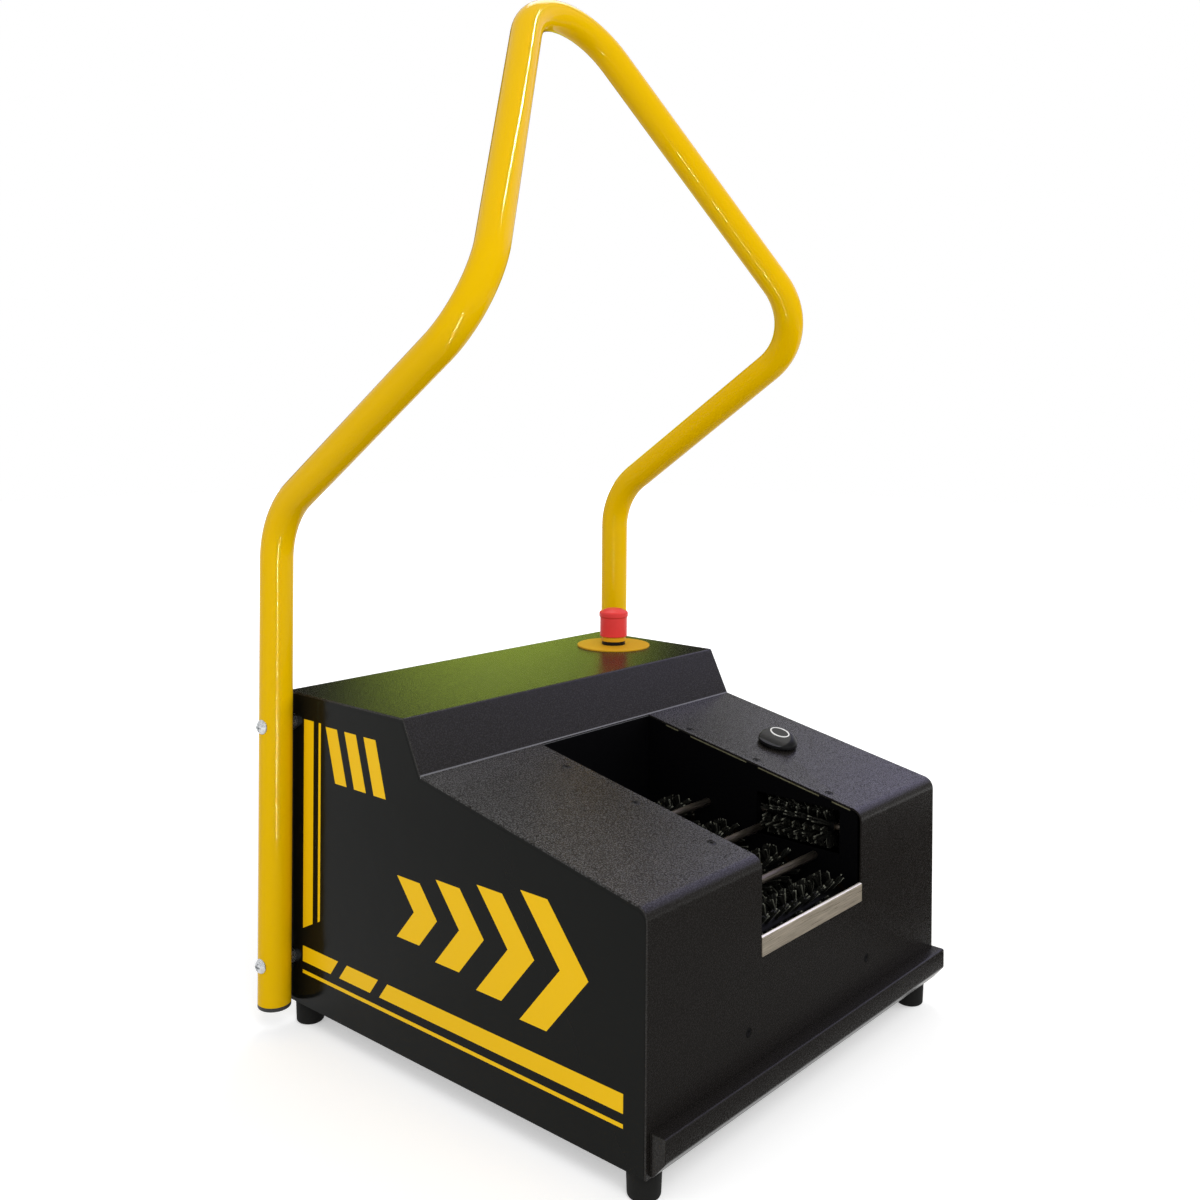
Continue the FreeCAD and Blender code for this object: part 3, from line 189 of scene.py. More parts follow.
def lathe(profile, sides=48, closed=False):
    """A profile of radius and height turned about z: (r cos a, r sin a, h). A closed one makes a ring."""
    profile = np.asarray(profile, float)
    turn = np.arange(sides) * 2 * np.pi / sides
    r, h = profile[:, :1], profile[:, 1:]
    points = np.stack([r * np.cos(turn), r * np.sin(turn), h + 0 * turn], -1).reshape(-1, 3)
    return points, [grid_faces(len(profile), sides, closed, True)]


def dished(radius, depth, height, rings=24, sides=64, hollow=()):
    """A disc whose height is a function of place, with a straight skirt below it and a flat base:
    (r cos a, r sin a, height(x, y)), closed at the given depth. A hollow, given as its inner radius and
    its roof's height, opens the base."""
    turn = np.arange(sides) * 2 * np.pi / sides
    r = np.linspace(0, radius, rings)[:, None]
    x, y = r * np.cos(turn), r * np.sin(turn)
    top = np.stack([x, y, height(x, y)], -1)
    inner, roof = hollow or (0, -depth)
    under = np.array([(radius, -depth), (inner, -depth), (inner, roof), (0, roof)][:4 if hollow else 2])
    base = np.stack([under[:, :1] * np.cos(turn), under[:, :1] * np.sin(turn), under[:, 1:] + 0 * turn], -1)
    points = np.concatenate([top.reshape(-1, 3), base.reshape(-1, 3)])
    return points, [grid_faces(rings + len(under), sides, False, True)]


def aimed(shape, origin, direction):
    """Turns a shape built about z so that z points along the direction, and moves it to the origin."""
    points, faces = shape
    ahead = unit(direction)
    across = unit(np.cross((1, 0, 0) if abs(ahead[1]) > 0.9 else (0, 1, 0), ahead))
    return np.asarray(origin) + points @ np.stack([across, np.cross(ahead, across), ahead]), faces


def rings_along(path, radius, sides):
    """Circles carried along a path: p + r (cos a u + sin a v), u and v square to the path at p."""
    runs = unit(np.diff(path, axis=0))
    ahead = unit(np.concatenate([runs[:1], runs[:-1] + runs[1:], runs[-1:]]))
    u = unit(np.cross(ahead, (0, 1, 0)))
    v = np.cross(ahead, u)
    turn = (np.arange(sides) * 2 * np.pi / sides)[None, :, None]
    return path[:, None] + radius * (np.cos(turn) * u[:, None] + np.sin(turn) * v[:, None])


def pipe(path, outer, inner, sides=48):
    """A tube with a wall: its outer rings one way, its inner rings back, joined at both ends."""
    rings = np.concatenate([rings_along(path, outer, sides), rings_along(path, inner, sides)[::-1]])
    return rings.reshape(-1, 3), [grid_faces(len(rings), sides, True, True)]


def extruded(outline, start, end):
    """A closed outline of depth and height carried across from start to end, with both ends closed."""
    outline = np.asarray(outline, float)
    count = len(outline)
    points = np.insert(np.tile(outline, (2, 1)), 0, np.repeat([start, end], count), axis=1)
    ends = [np.arange(count)[None], np.arange(count, 2 * count)[None, ::-1]]
    return points, [grid_faces(2, count, False, True)] + ends


def piece(name, shapes, slot, body="root", replaces=(), sharp=SHARP, tip=None):
    """Joins shapes into one mesh, merges its doubles, turns its faces outwards, gives it its finish, hangs it
    on its body and hides the parts that it replaces.
    """
    starts = np.cumsum([0] + [len(points) for points, _ in shapes[:-1]])
    faces = [face for (_, groups), start in zip(shapes, starts)
             for group in groups for face in (np.asarray(group) + start).tolist()]
    data = bpy.data.meshes.new(name)
    data.from_pydata(np.concatenate([points for points, _ in shapes]).tolist(), [], faces)
    if tip is not None:
        data.attributes.new("tip", "FLOAT", "POINT").data.foreach_set("value", np.float32(tip))
    mesh = bmesh.new()
    mesh.from_mesh(data)
    bmesh.ops.remove_doubles(mesh, verts=mesh.verts, dist=1e-6)
    bmesh.ops.recalc_face_normals(mesh, faces=mesh.faces)
    mesh.to_mesh(data)
    mesh.free()
    data.polygons.foreach_set("use_smooth", np.ones(len(data.polygons), bool))
    data.set_sharp_from_angle(angle=math.radians(sharp))
    made = bpy.data.objects.new(name, data)
    dress(made, slot)
    bpy.context.scene.collection.objects.link(made)
    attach(made, body)
    if replaces:
        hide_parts(*replaces)
    return made


def round_edges(made, width):
    """Rounds the sharp edges and keeps the flat faces flat."""
    bevel = made.modifiers.new("Edge round", "BEVEL")
    bevel.width = width
    bevel.segments = 2
    bevel.limit_method = "ANGLE"
    bevel.angle_limit = math.radians(40.0)
    bevel.harden_normals = True


def add(tree, kind, inputs=None, **settings):
    """Adds one shader node. An input is a value, another node's output, or a node for its first output."""
    node = tree.nodes.new("ShaderNode" + kind)
    for key, value in settings.items():
        setattr(node, key, value)
    for key, value in (inputs or {}).items():
        if isinstance(value, bpy.types.Node):
            value = value.outputs[0]
        if isinstance(value, bpy.types.NodeSocket):
            tree.links.new(value, node.inputs[key])
        else:
            node.inputs[key].default_value = value
    return node


def rgba(value):
    """A hex colour, or one of the scene's colours by its name, with full alpha."""
    own = bpy.context.scene.sole_colours
    return (*(linear(value) if value.startswith("#") else getattr(own, value)), 1.0)


def fresh_nodes(made):
    """Empties the nodes of a material or a world and returns its tree."""
    made.use_nodes = True
    made.node_tree.nodes.clear()
    return made.node_tree


def own_axis(tree, axis):
    """One coordinate of the place on the object."""
    spot = add(tree, "TexCoord").outputs["Object"]
    return add(tree, "SeparateXYZ", {"Vector": spot}).outputs[axis]


def grained(name, colours, roughness, grain, depth=0.0, specular=0.5, metallic=0.0, stretch=(1, 1, 1),
            contrast=0.3):
    """A surface with one fine noise, which moves its roughness, and its colour where two are given, between
    two values, and dents it to the depth. The grain, a speck's size, and the depth are in millimetres."""
    made = bpy.data.materials.new(name)
    tree = fresh_nodes(made)
    place = add(tree, "Mapping", {"Vector": add(tree, "TexCoord").outputs["Object"], "Scale": stretch})
    noise = add(tree, "TexNoise", {"Vector": place, "Scale": 1 / (grain * MM), "Detail": 2.0,
                                   "Roughness": 0.6})
    wave = add(tree, "MapRange", {"Value": noise, "From Min": 0.5 - contrast / 2,
                                  "From Max": 0.5 + contrast / 2}, name="Wave")
    rough = add(tree, "MapRange", {"Value": noise, "From Min": 0.3, "From Max": 0.7,
                                   "To Min": roughness[0], "To Max": roughness[1]})
    look = {"Base Color": rgba(colours[0]), "Roughness": rough, "Specular IOR Level": specular,
            "Metallic": metallic}
    if len(colours) == 2:
        shade = add(tree, "Mix", {0: wave, 6: rgba(colours[0]), 7: rgba(colours[1])}, data_type="RGBA")
        look["Base Color"] = shade.outputs[2]
    if depth:
        look["Normal"] = add(tree, "Bump", {"Height": noise, "Distance": depth * MM, "Strength": 1.0})
    add(tree, "OutputMaterial", {"Surface": add(tree, "BsdfPrincipled", look)})
    return made


def painted_highlight_line(made, axis, at, reach, shade):
    """Mixes a paler colour into a band across an axis, as a painted highlight along a bend that catches the
    light.
    """
    tree = made.node_tree
    paint = tree.nodes["Principled BSDF"].inputs["Base Color"]
    band = add(tree, "Math", {0: own_axis(tree, axis), 1: at, 2: reach}, operation="COMPARE")
    highlight_mix = add(tree, "Mix", {0: band, 6: paint.links[0].from_socket, 7: rgba(shade)}, data_type="RGBA")
    tree.links.new(highlight_mix.outputs[2], paint)


def scuffed_deck_and_painted_line(made):
    """Lets the pebbles glint more on the deck than elsewhere, and paints a pale line along the bend at the
    slope's foot as a painted highlight, where that bend catches the light."""
    tree = made.node_tree
    depth = own_axis(tree, "Y")
    rear = FRONT + bpy.context.scene.sole_housing.foot_depth
    bend, full, fade, line = 0.002, 0.012, 0.02, 0.0005
    begins = add(tree, "MapRange", {"Value": depth, "From Min": FRONT + bend, "From Max": FRONT + full})
    ends = add(tree, "MapRange", {"Value": depth, "From Min": rear - fade, "From Max": rear,
                                  "To Min": 1.0, "To Max": 0.0})
    scuffed = add(tree, "Math", {0: begins, 1: ends}, operation="MULTIPLY")
    # the least and the most glint, each elsewhere and on the deck
    least, most = (add(tree, "MapRange", {"Value": scuffed, "To Min": elsewhere, "To Max": deck})
                   for elsewhere, deck in ((0.12, 0.0), (0.22, 0.56)))
    glint = add(tree, "MapRange", {"Value": tree.nodes["Wave"], "To Min": least, "To Max": most})
    tree.links.new(glint.outputs[0], tree.nodes["Principled BSDF"].inputs["Specular IOR Level"])
    # painted highlight: a pale band along the bend at the slope's foot
    painted_highlight_line(made, "Y", rear, line, "#66666A")


def painted_fold_highlight(made):
    """Paints a highlight on the strip's upper fold, where it catches the light."""
    below, reach = 0.0003, 0.0006
    painted_highlight_line(made, "Z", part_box("edge_strip")[1].z - below, reach, "#EEE8DE")


def painted_strand_light(made):
    """Paints light and shade on the strands: painted shade at the root, paler towards the tip, as far as the
    tip value carries a painted highlight.
    """
    tree = made.node_tree
    reach = add(tree, "Attribute", attribute_name="tip").outputs["Fac"]
    # painted shade at the root and painted highlight on the lit strands' tips
    shade = add(tree, "Mix", {0: reach, 6: rgba("#040404"), 7: rgba("#74756A")}, data_type="RGBA")
    tree.links.new(shade.outputs[2], tree.nodes["Principled BSDF"].inputs["Base Color"])


# The finish of every slot, and of the cuts and prints that have no slot: the material's name, then what
# grained takes, which is colours, roughness, grain, depth, specular, metallic, stretch and contrast.
# Each comment says what the real finish is and what it gives the eye.
FINISHES = {
    # Black polyester powder coat with a fine texture, sprayed and baked: an even, pebbled, half-matt black
    # whose pebbles glint, most on the deck, where shoes have scuffed them. The real pebbles are about
    # 0.4 mm and are drawn at 1.3 mm so that they show.
    "housing_paint": ("fine_texture_powder_coat", ("housing", "housing_speck"), (0.2, 0.32), 1.3, 0.2,
                      0.5, 0.0, (1, 1, 1), 0.25),
    # The same coat on the plain plates inside the well, duller there, and painted a much deeper black as
    # painted shade for the deep well.
    "well_paint": ("well_powder_coat", ("#020203", "#070708"), (0.5, 0.65), 1.5, 0.1, 0.04),
    # The cut edge of thin steel sheet, oiled and barely coated: a dull olive grey.
    "cut_edge": ("cut_sheet_edge", ("#57543F", "#6C6954"), (0.45, 0.6), 3, 0.0, 0.2),
    # Black cast vinyl film, rolled on: smooth, glossy and slightly waved over the plate.
    "side_film": ("cast_vinyl_film", ("film",), (0.1, 0.16), 40, 0.25, 0.08),
    # Yellow cast vinyl, cut and laid on the film: flat, even and half-glossy.
    "cut_shapes": ("cut_vinyl", ("decal",), (0.28, 0.34), 30, 0.1, 0.12),
    # Yellow gloss polyester powder coat on bent tube, baked: a deep even yellow with a faint orange peel,
    # whose waves are 5 mm long.
    "handle_paint": ("gloss_powder_coat", ("handle",), (0.06, 0.08), 5, 0.008, 0.05),
    # Black low-density polyethylene, injection moulded: soft, slightly waxy and dull.
    "cap_plastic": ("moulded_polyethylene", ("#141414", "#1C1C1C"), (0.42, 0.5), 1.5, 0.02),
    # Steel screws, cold headed and zinc plated: bright, cool and a little cloudy.
    "screw_zinc": ("zinc_plated_steel", ("#B9BBBD", "#D2D4D6"), (0.2, 0.34), 1.2, 0.01, 0.5, 1.0),
    # Steel screws, blackened in an oxide bath: near black with a soft oily sheen.
    "screw_black": ("black_oxide_steel", ("#090909", "#121213"), (0.3, 0.4), 0.8, 0.0, 0.14),
    # Black rubber, compression moulded: deep matt black with a dry skin.
    "foot_rubber": ("moulded_rubber", ("#131312", "#1B1B1A"), (0.7, 0.82), 1.2, 0.04, 0.15),
    # Stainless steel strip, brushed along its length and folded: fine straight lines and warm grey, with a
    # painted highlight along its upper fold. The real lines are about 0.1 mm apart and are drawn at 0.5 mm so
    # that they show.
    "bright_steel": ("brushed_stainless", ("#938978", "#C4B8A6"), (0.26, 0.4), 0.5, 0.01, 0.5, 0.5,
                     (0.02, 1, 1)),
    # Cold drawn steel bar, cut to length: satin grey with faint lines along it.
    "rod_steel": ("drawn_steel_bar", ("#5F5850", "#7E766C"), (0.34, 0.48), 0.7, 0.01, 0.5, 1.0, (0.04, 1, 1)),
    # Black polyamide bristle, extruded and set in tufts; its colour is painted light: painted shade at the
    # root and a painted highlight towards the tip on each tuft's lit edge.
    "brush_nylon": ("nylon_strands", ("#101112",), (0.34, 0.44), 2, 0.0, 0.06),
    # Aluminium alloy, turned on a lathe: bright with fine tool marks.
    "pulley_alloy": ("turned_aluminium", ("#A9ABAD", "#C6C8CA"), (0.25, 0.38), 0.8, 0.01, 0.5, 1.0),
    # Polyurethane drive belt, moulded: dull dark grey.
    "belt_rubber": ("belt_rubber", ("#1C1D1E", "#27282A"), (0.6, 0.7), 1.5, 0.03),
    # Sintered bronze bush, pressed from powder and soaked in oil: dark brown metal with tiny pores.
    "bush_bronze": ("sintered_bronze", ("#2E2319", "#3D2F22"), (0.4, 0.55), 0.6, 0.02, 0.5, 1.0),
    # Dark grey baked enamel on a cast motor shell: smooth and half-glossy.
    "motor_shell": ("motor_enamel", ("#2C2E31", "#34363A"), (0.35, 0.42), 6, 0.03),
    # Yellow ABS, moulded, as on a stop switch's plate and collar: even and half-glossy.
    "stop_yellow": ("yellow_abs", ("stop_plate",), (0.42, 0.48), 3, 0.02, 0.12),
    # Black glass-filled polyamide, moulded: even black with a faint satin skin.
    "switch_black": ("black_polyamide", ("#0A0A0B", "#111112"), (0.3, 0.4), 0.8, 0.02, 0.16),
    # Red polyamide, moulded, as on a stop switch's head: a clear strong red, satin.
    "stop_red": ("red_polyamide", ("stop_head",), (0.34, 0.4), 2, 0.015, 0.14),
    # White pad print: thin, flat and matt.
    "start_mark": ("white_print", ("#D9DADA", "#E6E6E6"), (0.5, 0.55), 1),
    # Light grey ABS, moulded, as on an electrical box: even and matt.
    "box_plastic": ("grey_abs", ("#8D9193", "#999D9F"), (0.45, 0.55), 1, 0.02),
}
# touches after a finish: scuffs, and painted light, a painted highlight on the deck's bend and the strip's
# fold and painted light and shade on the strands
WEAR_AND_PAINTED_LIGHT = {"housing_paint": scuffed_deck_and_painted_line, "bright_steel": painted_fold_highlight, "brush_nylon": painted_strand_light}


def dress(made, key):
    """Gives an object a finish, whose material is made the first time that it is asked for."""
    name, *look = FINISHES[key]
    if name not in bpy.data.materials:
        fresh = grained(name, *look)
        if key in WEAR_AND_PAINTED_LIGHT:
            WEAR_AND_PAINTED_LIGHT[key](fresh)
    made.data.materials.clear()
    made.data.materials.append(bpy.data.materials[name])


def cover_rows(sizes):
    """Side view of the sheet, from the foot of the front face over deck and slope to the back edge."""
    corners = [(FRONT, BOTTOM), (FRONT, sizes.deck_front), (FRONT + sizes.foot_depth, sizes.foot_height),
               (FRONT + sizes.edge_depth, TOP), (BACK, TOP)]
    path = rounded(corners, [sizes.front_bend, sizes.foot_bend, sizes.top_bend], BEND_STEPS)
    breaks = [(FRONT, sizes.opening_top), (FRONT, sizes.notch_height)]
    return np.concatenate([path[:1], breaks, path[1:]])


def deck_slope(sizes):
    """Rise of the deck for each metre of depth."""
    return (sizes.foot_height - sizes.deck_front) / sizes.foot_depth


def deck_point(sizes, x, depth, above=0.0):
    """A point at a depth on the deck, or at a height above it, square to it, with the deck's normal."""
    slope = deck_slope(sizes)
    normal = unit((0, -slope, 1))
    return np.array((x, FRONT + depth, sizes.deck_front + slope * depth)) + normal * above, normal


class OBJECT_OT_sole_cover(bpy.types.Operator):
    """Build the folded cover with its well, notch and drawer opening"""

    bl_idname = "object.sole_cover"
    bl_label = "Folded Cover"

    def execute(self, context):
        """The cover is (x, y(s), z(s)): the side view carried across, less the faces of its openings."""
        sizes = context.scene.sole_housing
        rows = cover_rows(sizes)
        x = np.array([-HALF_WIDTH, -sizes.opening_half, WELL_LEFT, WELL_RIGHT, sizes.opening_half,
                      HALF_WIDTH])
        points = np.stack([np.tile(x, (len(rows), 1)), np.repeat(rows[:, :1], len(x), 1),
                           np.repeat(rows[:, 1:], len(x), 1)], -1).reshape(-1, 3)
        faces = grid_faces(len(rows), len(x))
        across, depth, height = points[faces].mean(1).T
        well = (across > WELL_LEFT) & (across < WELL_RIGHT) & (height > sizes.notch_height) & (
            depth < FRONT + sizes.foot_depth - sizes.foot_bend)
        drawer = (abs(across) < sizes.opening_half) & (height < sizes.opening_top)
        made = piece("folded_cover", [(points, [faces[~(well | drawer)]])], "housing_paint",
                     replaces=["top_cover"])
        wall = made.modifiers.new("Sheet", "SOLIDIFY")
        wall.thickness = sizes.sheet
        wall.offset = -1.0
        wall.use_even_offset = True
        seat = lathe([(0, -SEAT_DEPTH), (SEAT_RADIUS, -SEAT_DEPTH), (SEAT_RADIUS, sizes.sheet),
                      (0, sizes.sheet)])
        sink_seats(made, [aimed(seat, place, normal) for place, normal in screw_places(sizes)])
        round_edges(made, sizes.edge_round)
        return {"FINISHED"}


def screw_places(sizes):
    """Places and directions of the flush screws of deck and front."""
    across, depths, front_across, front_height = 0.101, (0.043, 0.1315, 0.220), 0.103, 0.0915
    on_deck = [deck_point(sizes, x, depth) for x in (-across, across) for depth in depths]
    return on_deck + [((x, FRONT, front_height), (0, -1, 0)) for x in (-front_across, front_across)]


def sink_seats(made, shapes):
    """Cuts shapes out of a thickened sheet and keeps the result as its mesh."""
    cutter = piece("seats", shapes, "housing_paint")
    cut = made.modifiers.new("Seats", "BOOLEAN")
    cut.object = cutter
    cut.solver = "EXACT"
    seen = made.evaluated_get(bpy.context.evaluated_depsgraph_get())
    made.modifiers.clear()
    made.data = bpy.data.meshes.new_from_object(seen)
    made.data.set_sharp_from_angle(angle=math.radians(SHARP))
    bpy.data.objects.remove(cutter)


def panel_outline(sizes, inset):
    """The side plate's outline in depth and height, set in by a margin on every side."""
    top = TOP - sizes.sheet - inset
    slope = deck_slope(sizes)
    lean = (TOP - sizes.foot_height) / (sizes.edge_depth - sizes.foot_depth)
    drop = (sizes.sheet + inset) * math.hypot(1, slope)
    front = FRONT + inset
    foot = FRONT + sizes.foot_depth + inset
    edge = foot + (top - sizes.foot_height + drop) / lean
    corners = [(front, BOTTOM + inset), (front, sizes.deck_front - drop + slope * inset),
               (foot, sizes.foot_height - drop + slope * inset), (edge, top),
               (BACK - inset, top), (BACK - inset, BOTTOM + inset)]
    small = 0.001
    return rounded_loop(corners, [small, sizes.front_bend - inset, small, small, small, small])


def cut_shapes():
    """Plain cut shapes for a side, in millimetres of depth from the front face and height from the floor:
    a run of chevrons that point forward, a bar with slanted ends, and stripes below and behind them."""
    middle, thick, pitch = 165, 32, 62
    shapes = []
    for number, tall in enumerate((112, 94, 76, 58)):
        at, half, reach = pitch * (number + 1), tall / 2, tall * 0.42
        shapes.append([(at + reach, middle + half), (at + reach + thick, middle + half), (at + thick, middle),
                       (at + reach + thick, middle - half), (at + reach, middle - half), (at, middle)])
    shapes += [[(24, 70), (330, 70), (318, 86), (24, 86)], [(344, 70), (392, 70), (380, 86), (332, 86)],
               [(406, 70), (452, 70), (452, 86), (394, 86)], [(24, 58), (452, 58), (452, 61.5), (24, 61.5)],
               [(436, 112), (452, 104), (452, 318), (436, 318)],
               [(424, 118), (427.5, 116), (427.5, 318), (424, 318)]]
    return shapes + [[(at, 262), (at + 18, 262), (at + 34, 316), (at + 16, 316)] for at in (322, 352, 382)]


class OBJECT_OT_sole_sides(bpy.types.Operator):
    """Lay the film and the cut shapes on both side plates"""

    bl_idname = "object.sole_sides"
    bl_label = "Side Films"

    def execute(self, context):
        """Flat outlines carried a film's thickness outwards from each side plate."""
        sizes = context.scene.sole_housing
        outline = panel_outline(sizes, sizes.film_margin)
        for side, sign in (("left", -1), ("right", 1)):
            face = sign * HALF_WIDTH
            film = face + sign * sizes.film
            piece(f"side_film_{side}", [extruded(outline, face - sign * sizes.film, film)], "side_film")
            shapes = [extruded(np.array(shape) * MM + (FRONT, 0), face, film + sign * sizes.film)
                      for shape in cut_shapes()]
            dress(piece(f"cut_shapes_{side}", shapes, "side_film"), "cut_shapes")
        return {"FINISHED"}


class OBJECT_OT_sole_strip(bpy.types.Operator):
    """Build the bright strip that is folded over the notch's edge"""

    bl_idname = "object.sole_strip"
    bl_label = "Edge Strip"

    def execute(self, context):
        """A folded profile carried across the notch."""
        low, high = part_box("edge_strip")
        thick, back_drop, fold = 0.001, 0.008, 0.0019

        def side(inset):
            front, back, top = low.y + inset, high.y - inset, high.z - inset
            corners = [(front, low.z), (front, top), (back, top), (back, high.z - back_drop)]
            return rounded(corners, [fold - inset] * 2, 6)

        outline = np.concatenate([side(0), side(thick)[::-1]])
        made = piece("edge_strip_folded", [extruded(outline, low.x, high.x)], "bright_steel",
                     replaces=["edge_strip"])
        round_edges(made, 0.0002)
        return {"FINISHED"}


class OBJECT_OT_sole_drawer(bpy.types.Operator):
    """Build the drawer's folded front"""

    bl_idname = "object.sole_drawer"
    bl_label = "Drawer Front"

    def execute(self, context):
        """A closed side view with rounded folds, carried across the drawer."""
        low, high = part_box("drawer_lip")
        knee, sheet, gap, edge, fold, knee_fold = 0.0425, 0.0015, 0.002, 0.0005, 0.002, 0.004
        foot = FRONT - gap - sheet
        corners = [(high.y, high.z), (low.y, high.z), (low.y, knee), (foot, low.z), (high.y, low.z)]
        outline = rounded_loop(corners, [edge, fold, knee_fold, fold, edge])
        made = piece("drawer_front", [extruded(outline, low.x, high.x)], "housing_paint", "drawer",
                     ["drawer_lip"])
        round_edges(made, 0.0007)
        return {"FINISHED"}


class OBJECT_OT_sole_feet(bpy.types.Operator):
    """Build the four rubber feet"""

    bl_idname = "object.sole_feet"
    bl_label = "Rubber Feet"

    def execute(self, context):
        """A rounded profile turned about each foot's axis."""
        low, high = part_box("rubber_feet")
        radius, taper, floor_round, top_round = 0.015, 0.001, 0.003, 0.0005
        profile = rounded([(0, 0), (radius - taper, 0), (radius, high.z), (0, high.z)],
                          [floor_round, top_round])
        shapes = [aimed(lathe(profile), (x, y, low.z), (0, 0, 1))
                  for x in (low.x + radius, high.x - radius) for y in (low.y + radius, high.y - radius)]
        piece("feet", shapes, "foot_rubber", replaces=["rubber_feet"])
        return {"FINISHED"}


class OBJECT_OT_sole_well_tabs(bpy.types.Operator):
    """Lay the tabs of the well's side walls under the deck's edge"""

    bl_idname = "object.sole_well_tabs"
    bl_label = "Well Tabs"

    def execute(self, context):
        """Thin plates with the side view of a band that follows the deck, carried a little into the well."""
        sizes = context.scene.sole_housing
        slope = deck_slope(sizes)
        tall, stand, sunk, under = 0.0012, 0.0004, 0.0003, sizes.sheet + 0.0004
        shapes = []
        for start, end in ((0.013, 0.034), (0.049, 0.123), (0.138, 0.212), (0.229, 0.246)):
            depth = np.array([start, end, end, start])
            height = sizes.deck_front + slope * depth - under - np.array([tall, tall, 0, 0])
            outline = np.stack([FRONT + depth, height], -1)
            for x, sign in ((WELL_LEFT, 1), (WELL_RIGHT, -1)):
                shapes.append(extruded(outline, x - sign * sunk, x + sign * stand))
        dress(piece("well_tabs", shapes, "well_paint"), "cut_edge")
        return {"FINISHED"}


def cross_recess(x, y, arm, width):
    """1 inside a cross of two bars, 0 outside, with a soft border a quarter of the bar's width wide."""
    half, border = width / 2, width / 4
    one, other = np.maximum(abs(x) - arm, abs(y) - half), np.maximum(abs(y) - arm, abs(x) - half)
    return np.clip(0.5 - np.minimum(one, other) / border, 0, 1)


def hex_recess(x, y, half, border):
    """1 inside a hexagon of the given half width, 0 outside, with a soft border."""
    turns = np.radians((0, 60, 120))
    across = np.max([abs(x * np.cos(t) + y * np.sin(t)) for t in turns], axis=0)
    return np.clip(0.5 - (across - half) / border, 0, 1)


class OBJECT_OT_sole_handle(bpy.types.Operator):
    """Build the bent handle with its caps and screws"""

    bl_idname = "object.sole_handle"
    bl_label = "Handle"

    def execute(self, context):
        """A ring carried along the rounded path; domed screw heads z = h (1 - (r/R)^3) less a cross."""
        sizes = context.scene.sole_handle
        low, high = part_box("handle_tube")
        x, y = high.x - sizes.radius, high.y - sizes.radius
        leg = [(x, y, BOTTOM + sizes.cap), (x, y, sizes.elbow_height),
               (x, y - sizes.knee_reach, sizes.knee_height)]
        corners = leg + [(0, y - sizes.apex_reach, sizes.apex_height)] + [(-a, b, c) for a, b, c in leg[::-1]]
        path = rounded(corners, [sizes.bend] * 5, 24)
        piece("handle", [pipe(path, sizes.radius, sizes.radius - sizes.wall)], "handle_paint",
              replaces=["handle_tube"])
        floor_round, top_round = 0.0015, 0.0003
        profile = rounded([(0, 0), (sizes.radius, 0), (sizes.radius, sizes.cap), (0, sizes.cap)],
                          [floor_round, top_round])
        caps = [aimed(lathe(profile), (sign * x, y, BOTTOM), (0, 0, 1)) for sign in (-1, 1)]
        piece("handle_caps", caps, "cap_plastic", replaces=["handle_end_caps"])
        radius, skirt, tall = 0.0075, 0.001, 0.0045
        recess, arm, slit = 0.002, 0.0038, 0.0016
        head = dished(radius, skirt, lambda a, b: tall * (1 - (np.hypot(a, b) / radius) ** 3)
                      - recess * cross_recess(a, b, arm, slit), 40, 96)
        heads = [aimed(head, (sign * high.x, y, height), (sign, 0, 0))
                 for sign in (-1, 1) for height in (sizes.screw_low, sizes.screw_high)]
        piece("handle_screw_heads", heads, "screw_zinc", replaces=["handle_screws"], sharp=50.0)
        return {"FINISHED"}


class OBJECT_OT_sole_cover_screws(bpy.types.Operator):
    """Build the flush screws of deck and front"""

    bl_idname = "object.sole_cover_screws"
    bl_label = "Cover Screws"

    def execute(self, context):
        """Heads z = -s - c (r/R)^6 less a hexagon recess, s below the sheet's face in their seats."""
        radius, skirt, sunk, crown = 0.0039, 0.0014, 0.0001, 0.0003
        recess, key, border = 0.001, 0.0015, 0.0003
        head = dished(radius, skirt, lambda a, b: -sunk - crown * (np.hypot(a, b) / radius) ** 6
                      - recess * hex_recess(a, b, key, border), 32, 72)
        heads = [aimed(head, place, normal) for place, normal in screw_places(context.scene.sole_housing)]
        piece("cover_screw_heads", heads, "screw_black", replaces=["cover_screws"], sharp=50.0)
        return {"FINISHED"}


class OBJECT_OT_sole_stop_switch(bpy.types.Operator):
    """Build the stop switch on the top plate"""

    bl_idname = "object.sole_stop_switch"
    bl_label = "Stop Switch"

    def execute(self, context):
        """Rounded profiles of radius and height in millimetres, turned about the switch's axis."""
        low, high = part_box("stop_plate")
        centre = ((low.x + high.x) / 2, (low.y + high.y) / 2, low.z)
        for name, corners, radii, slot, body, node in (
                ("stop_label", [(0, 0), (45, 0), (45, 2), (0, 2)], [0.2, 0.8], "stop_yellow", "root",
                 "stop_plate"),
                ("stop_base", [(0, 0.5), (14.5, 0.5), (14.5, 6.5), (0, 6.5)], [0.2, 0.4], "switch_black",
                 "root", "stop_base_ring"),
                ("stop_ring", [(0, 6.4), (15, 6.4), (15, 12), (0, 12)], [0.3, 0.8], "stop_yellow", "root",
                 "stop_collar"),
                ("stop_head_cap", [(0, 20.3), (15.3, 20.3), (15.3, 12.3), (16.75, 12.3), (16.75, 35.6),
                                   (17.9, 37), (17.9, 42.4), (9, 46.3), (0, 46.3)],
                 [0.3, 0.2, 0.6, 0.8, 0.8, 2.6, 6], "stop_red", "stop_head", "stop_button")):
            profile = rounded(np.array(corners) * MM, np.array(radii) * MM, 8)
            piece(name, [aimed(lathe(profile, 72), centre, (0, 0, 1))], slot, body, [node])
        return {"FINISHED"}


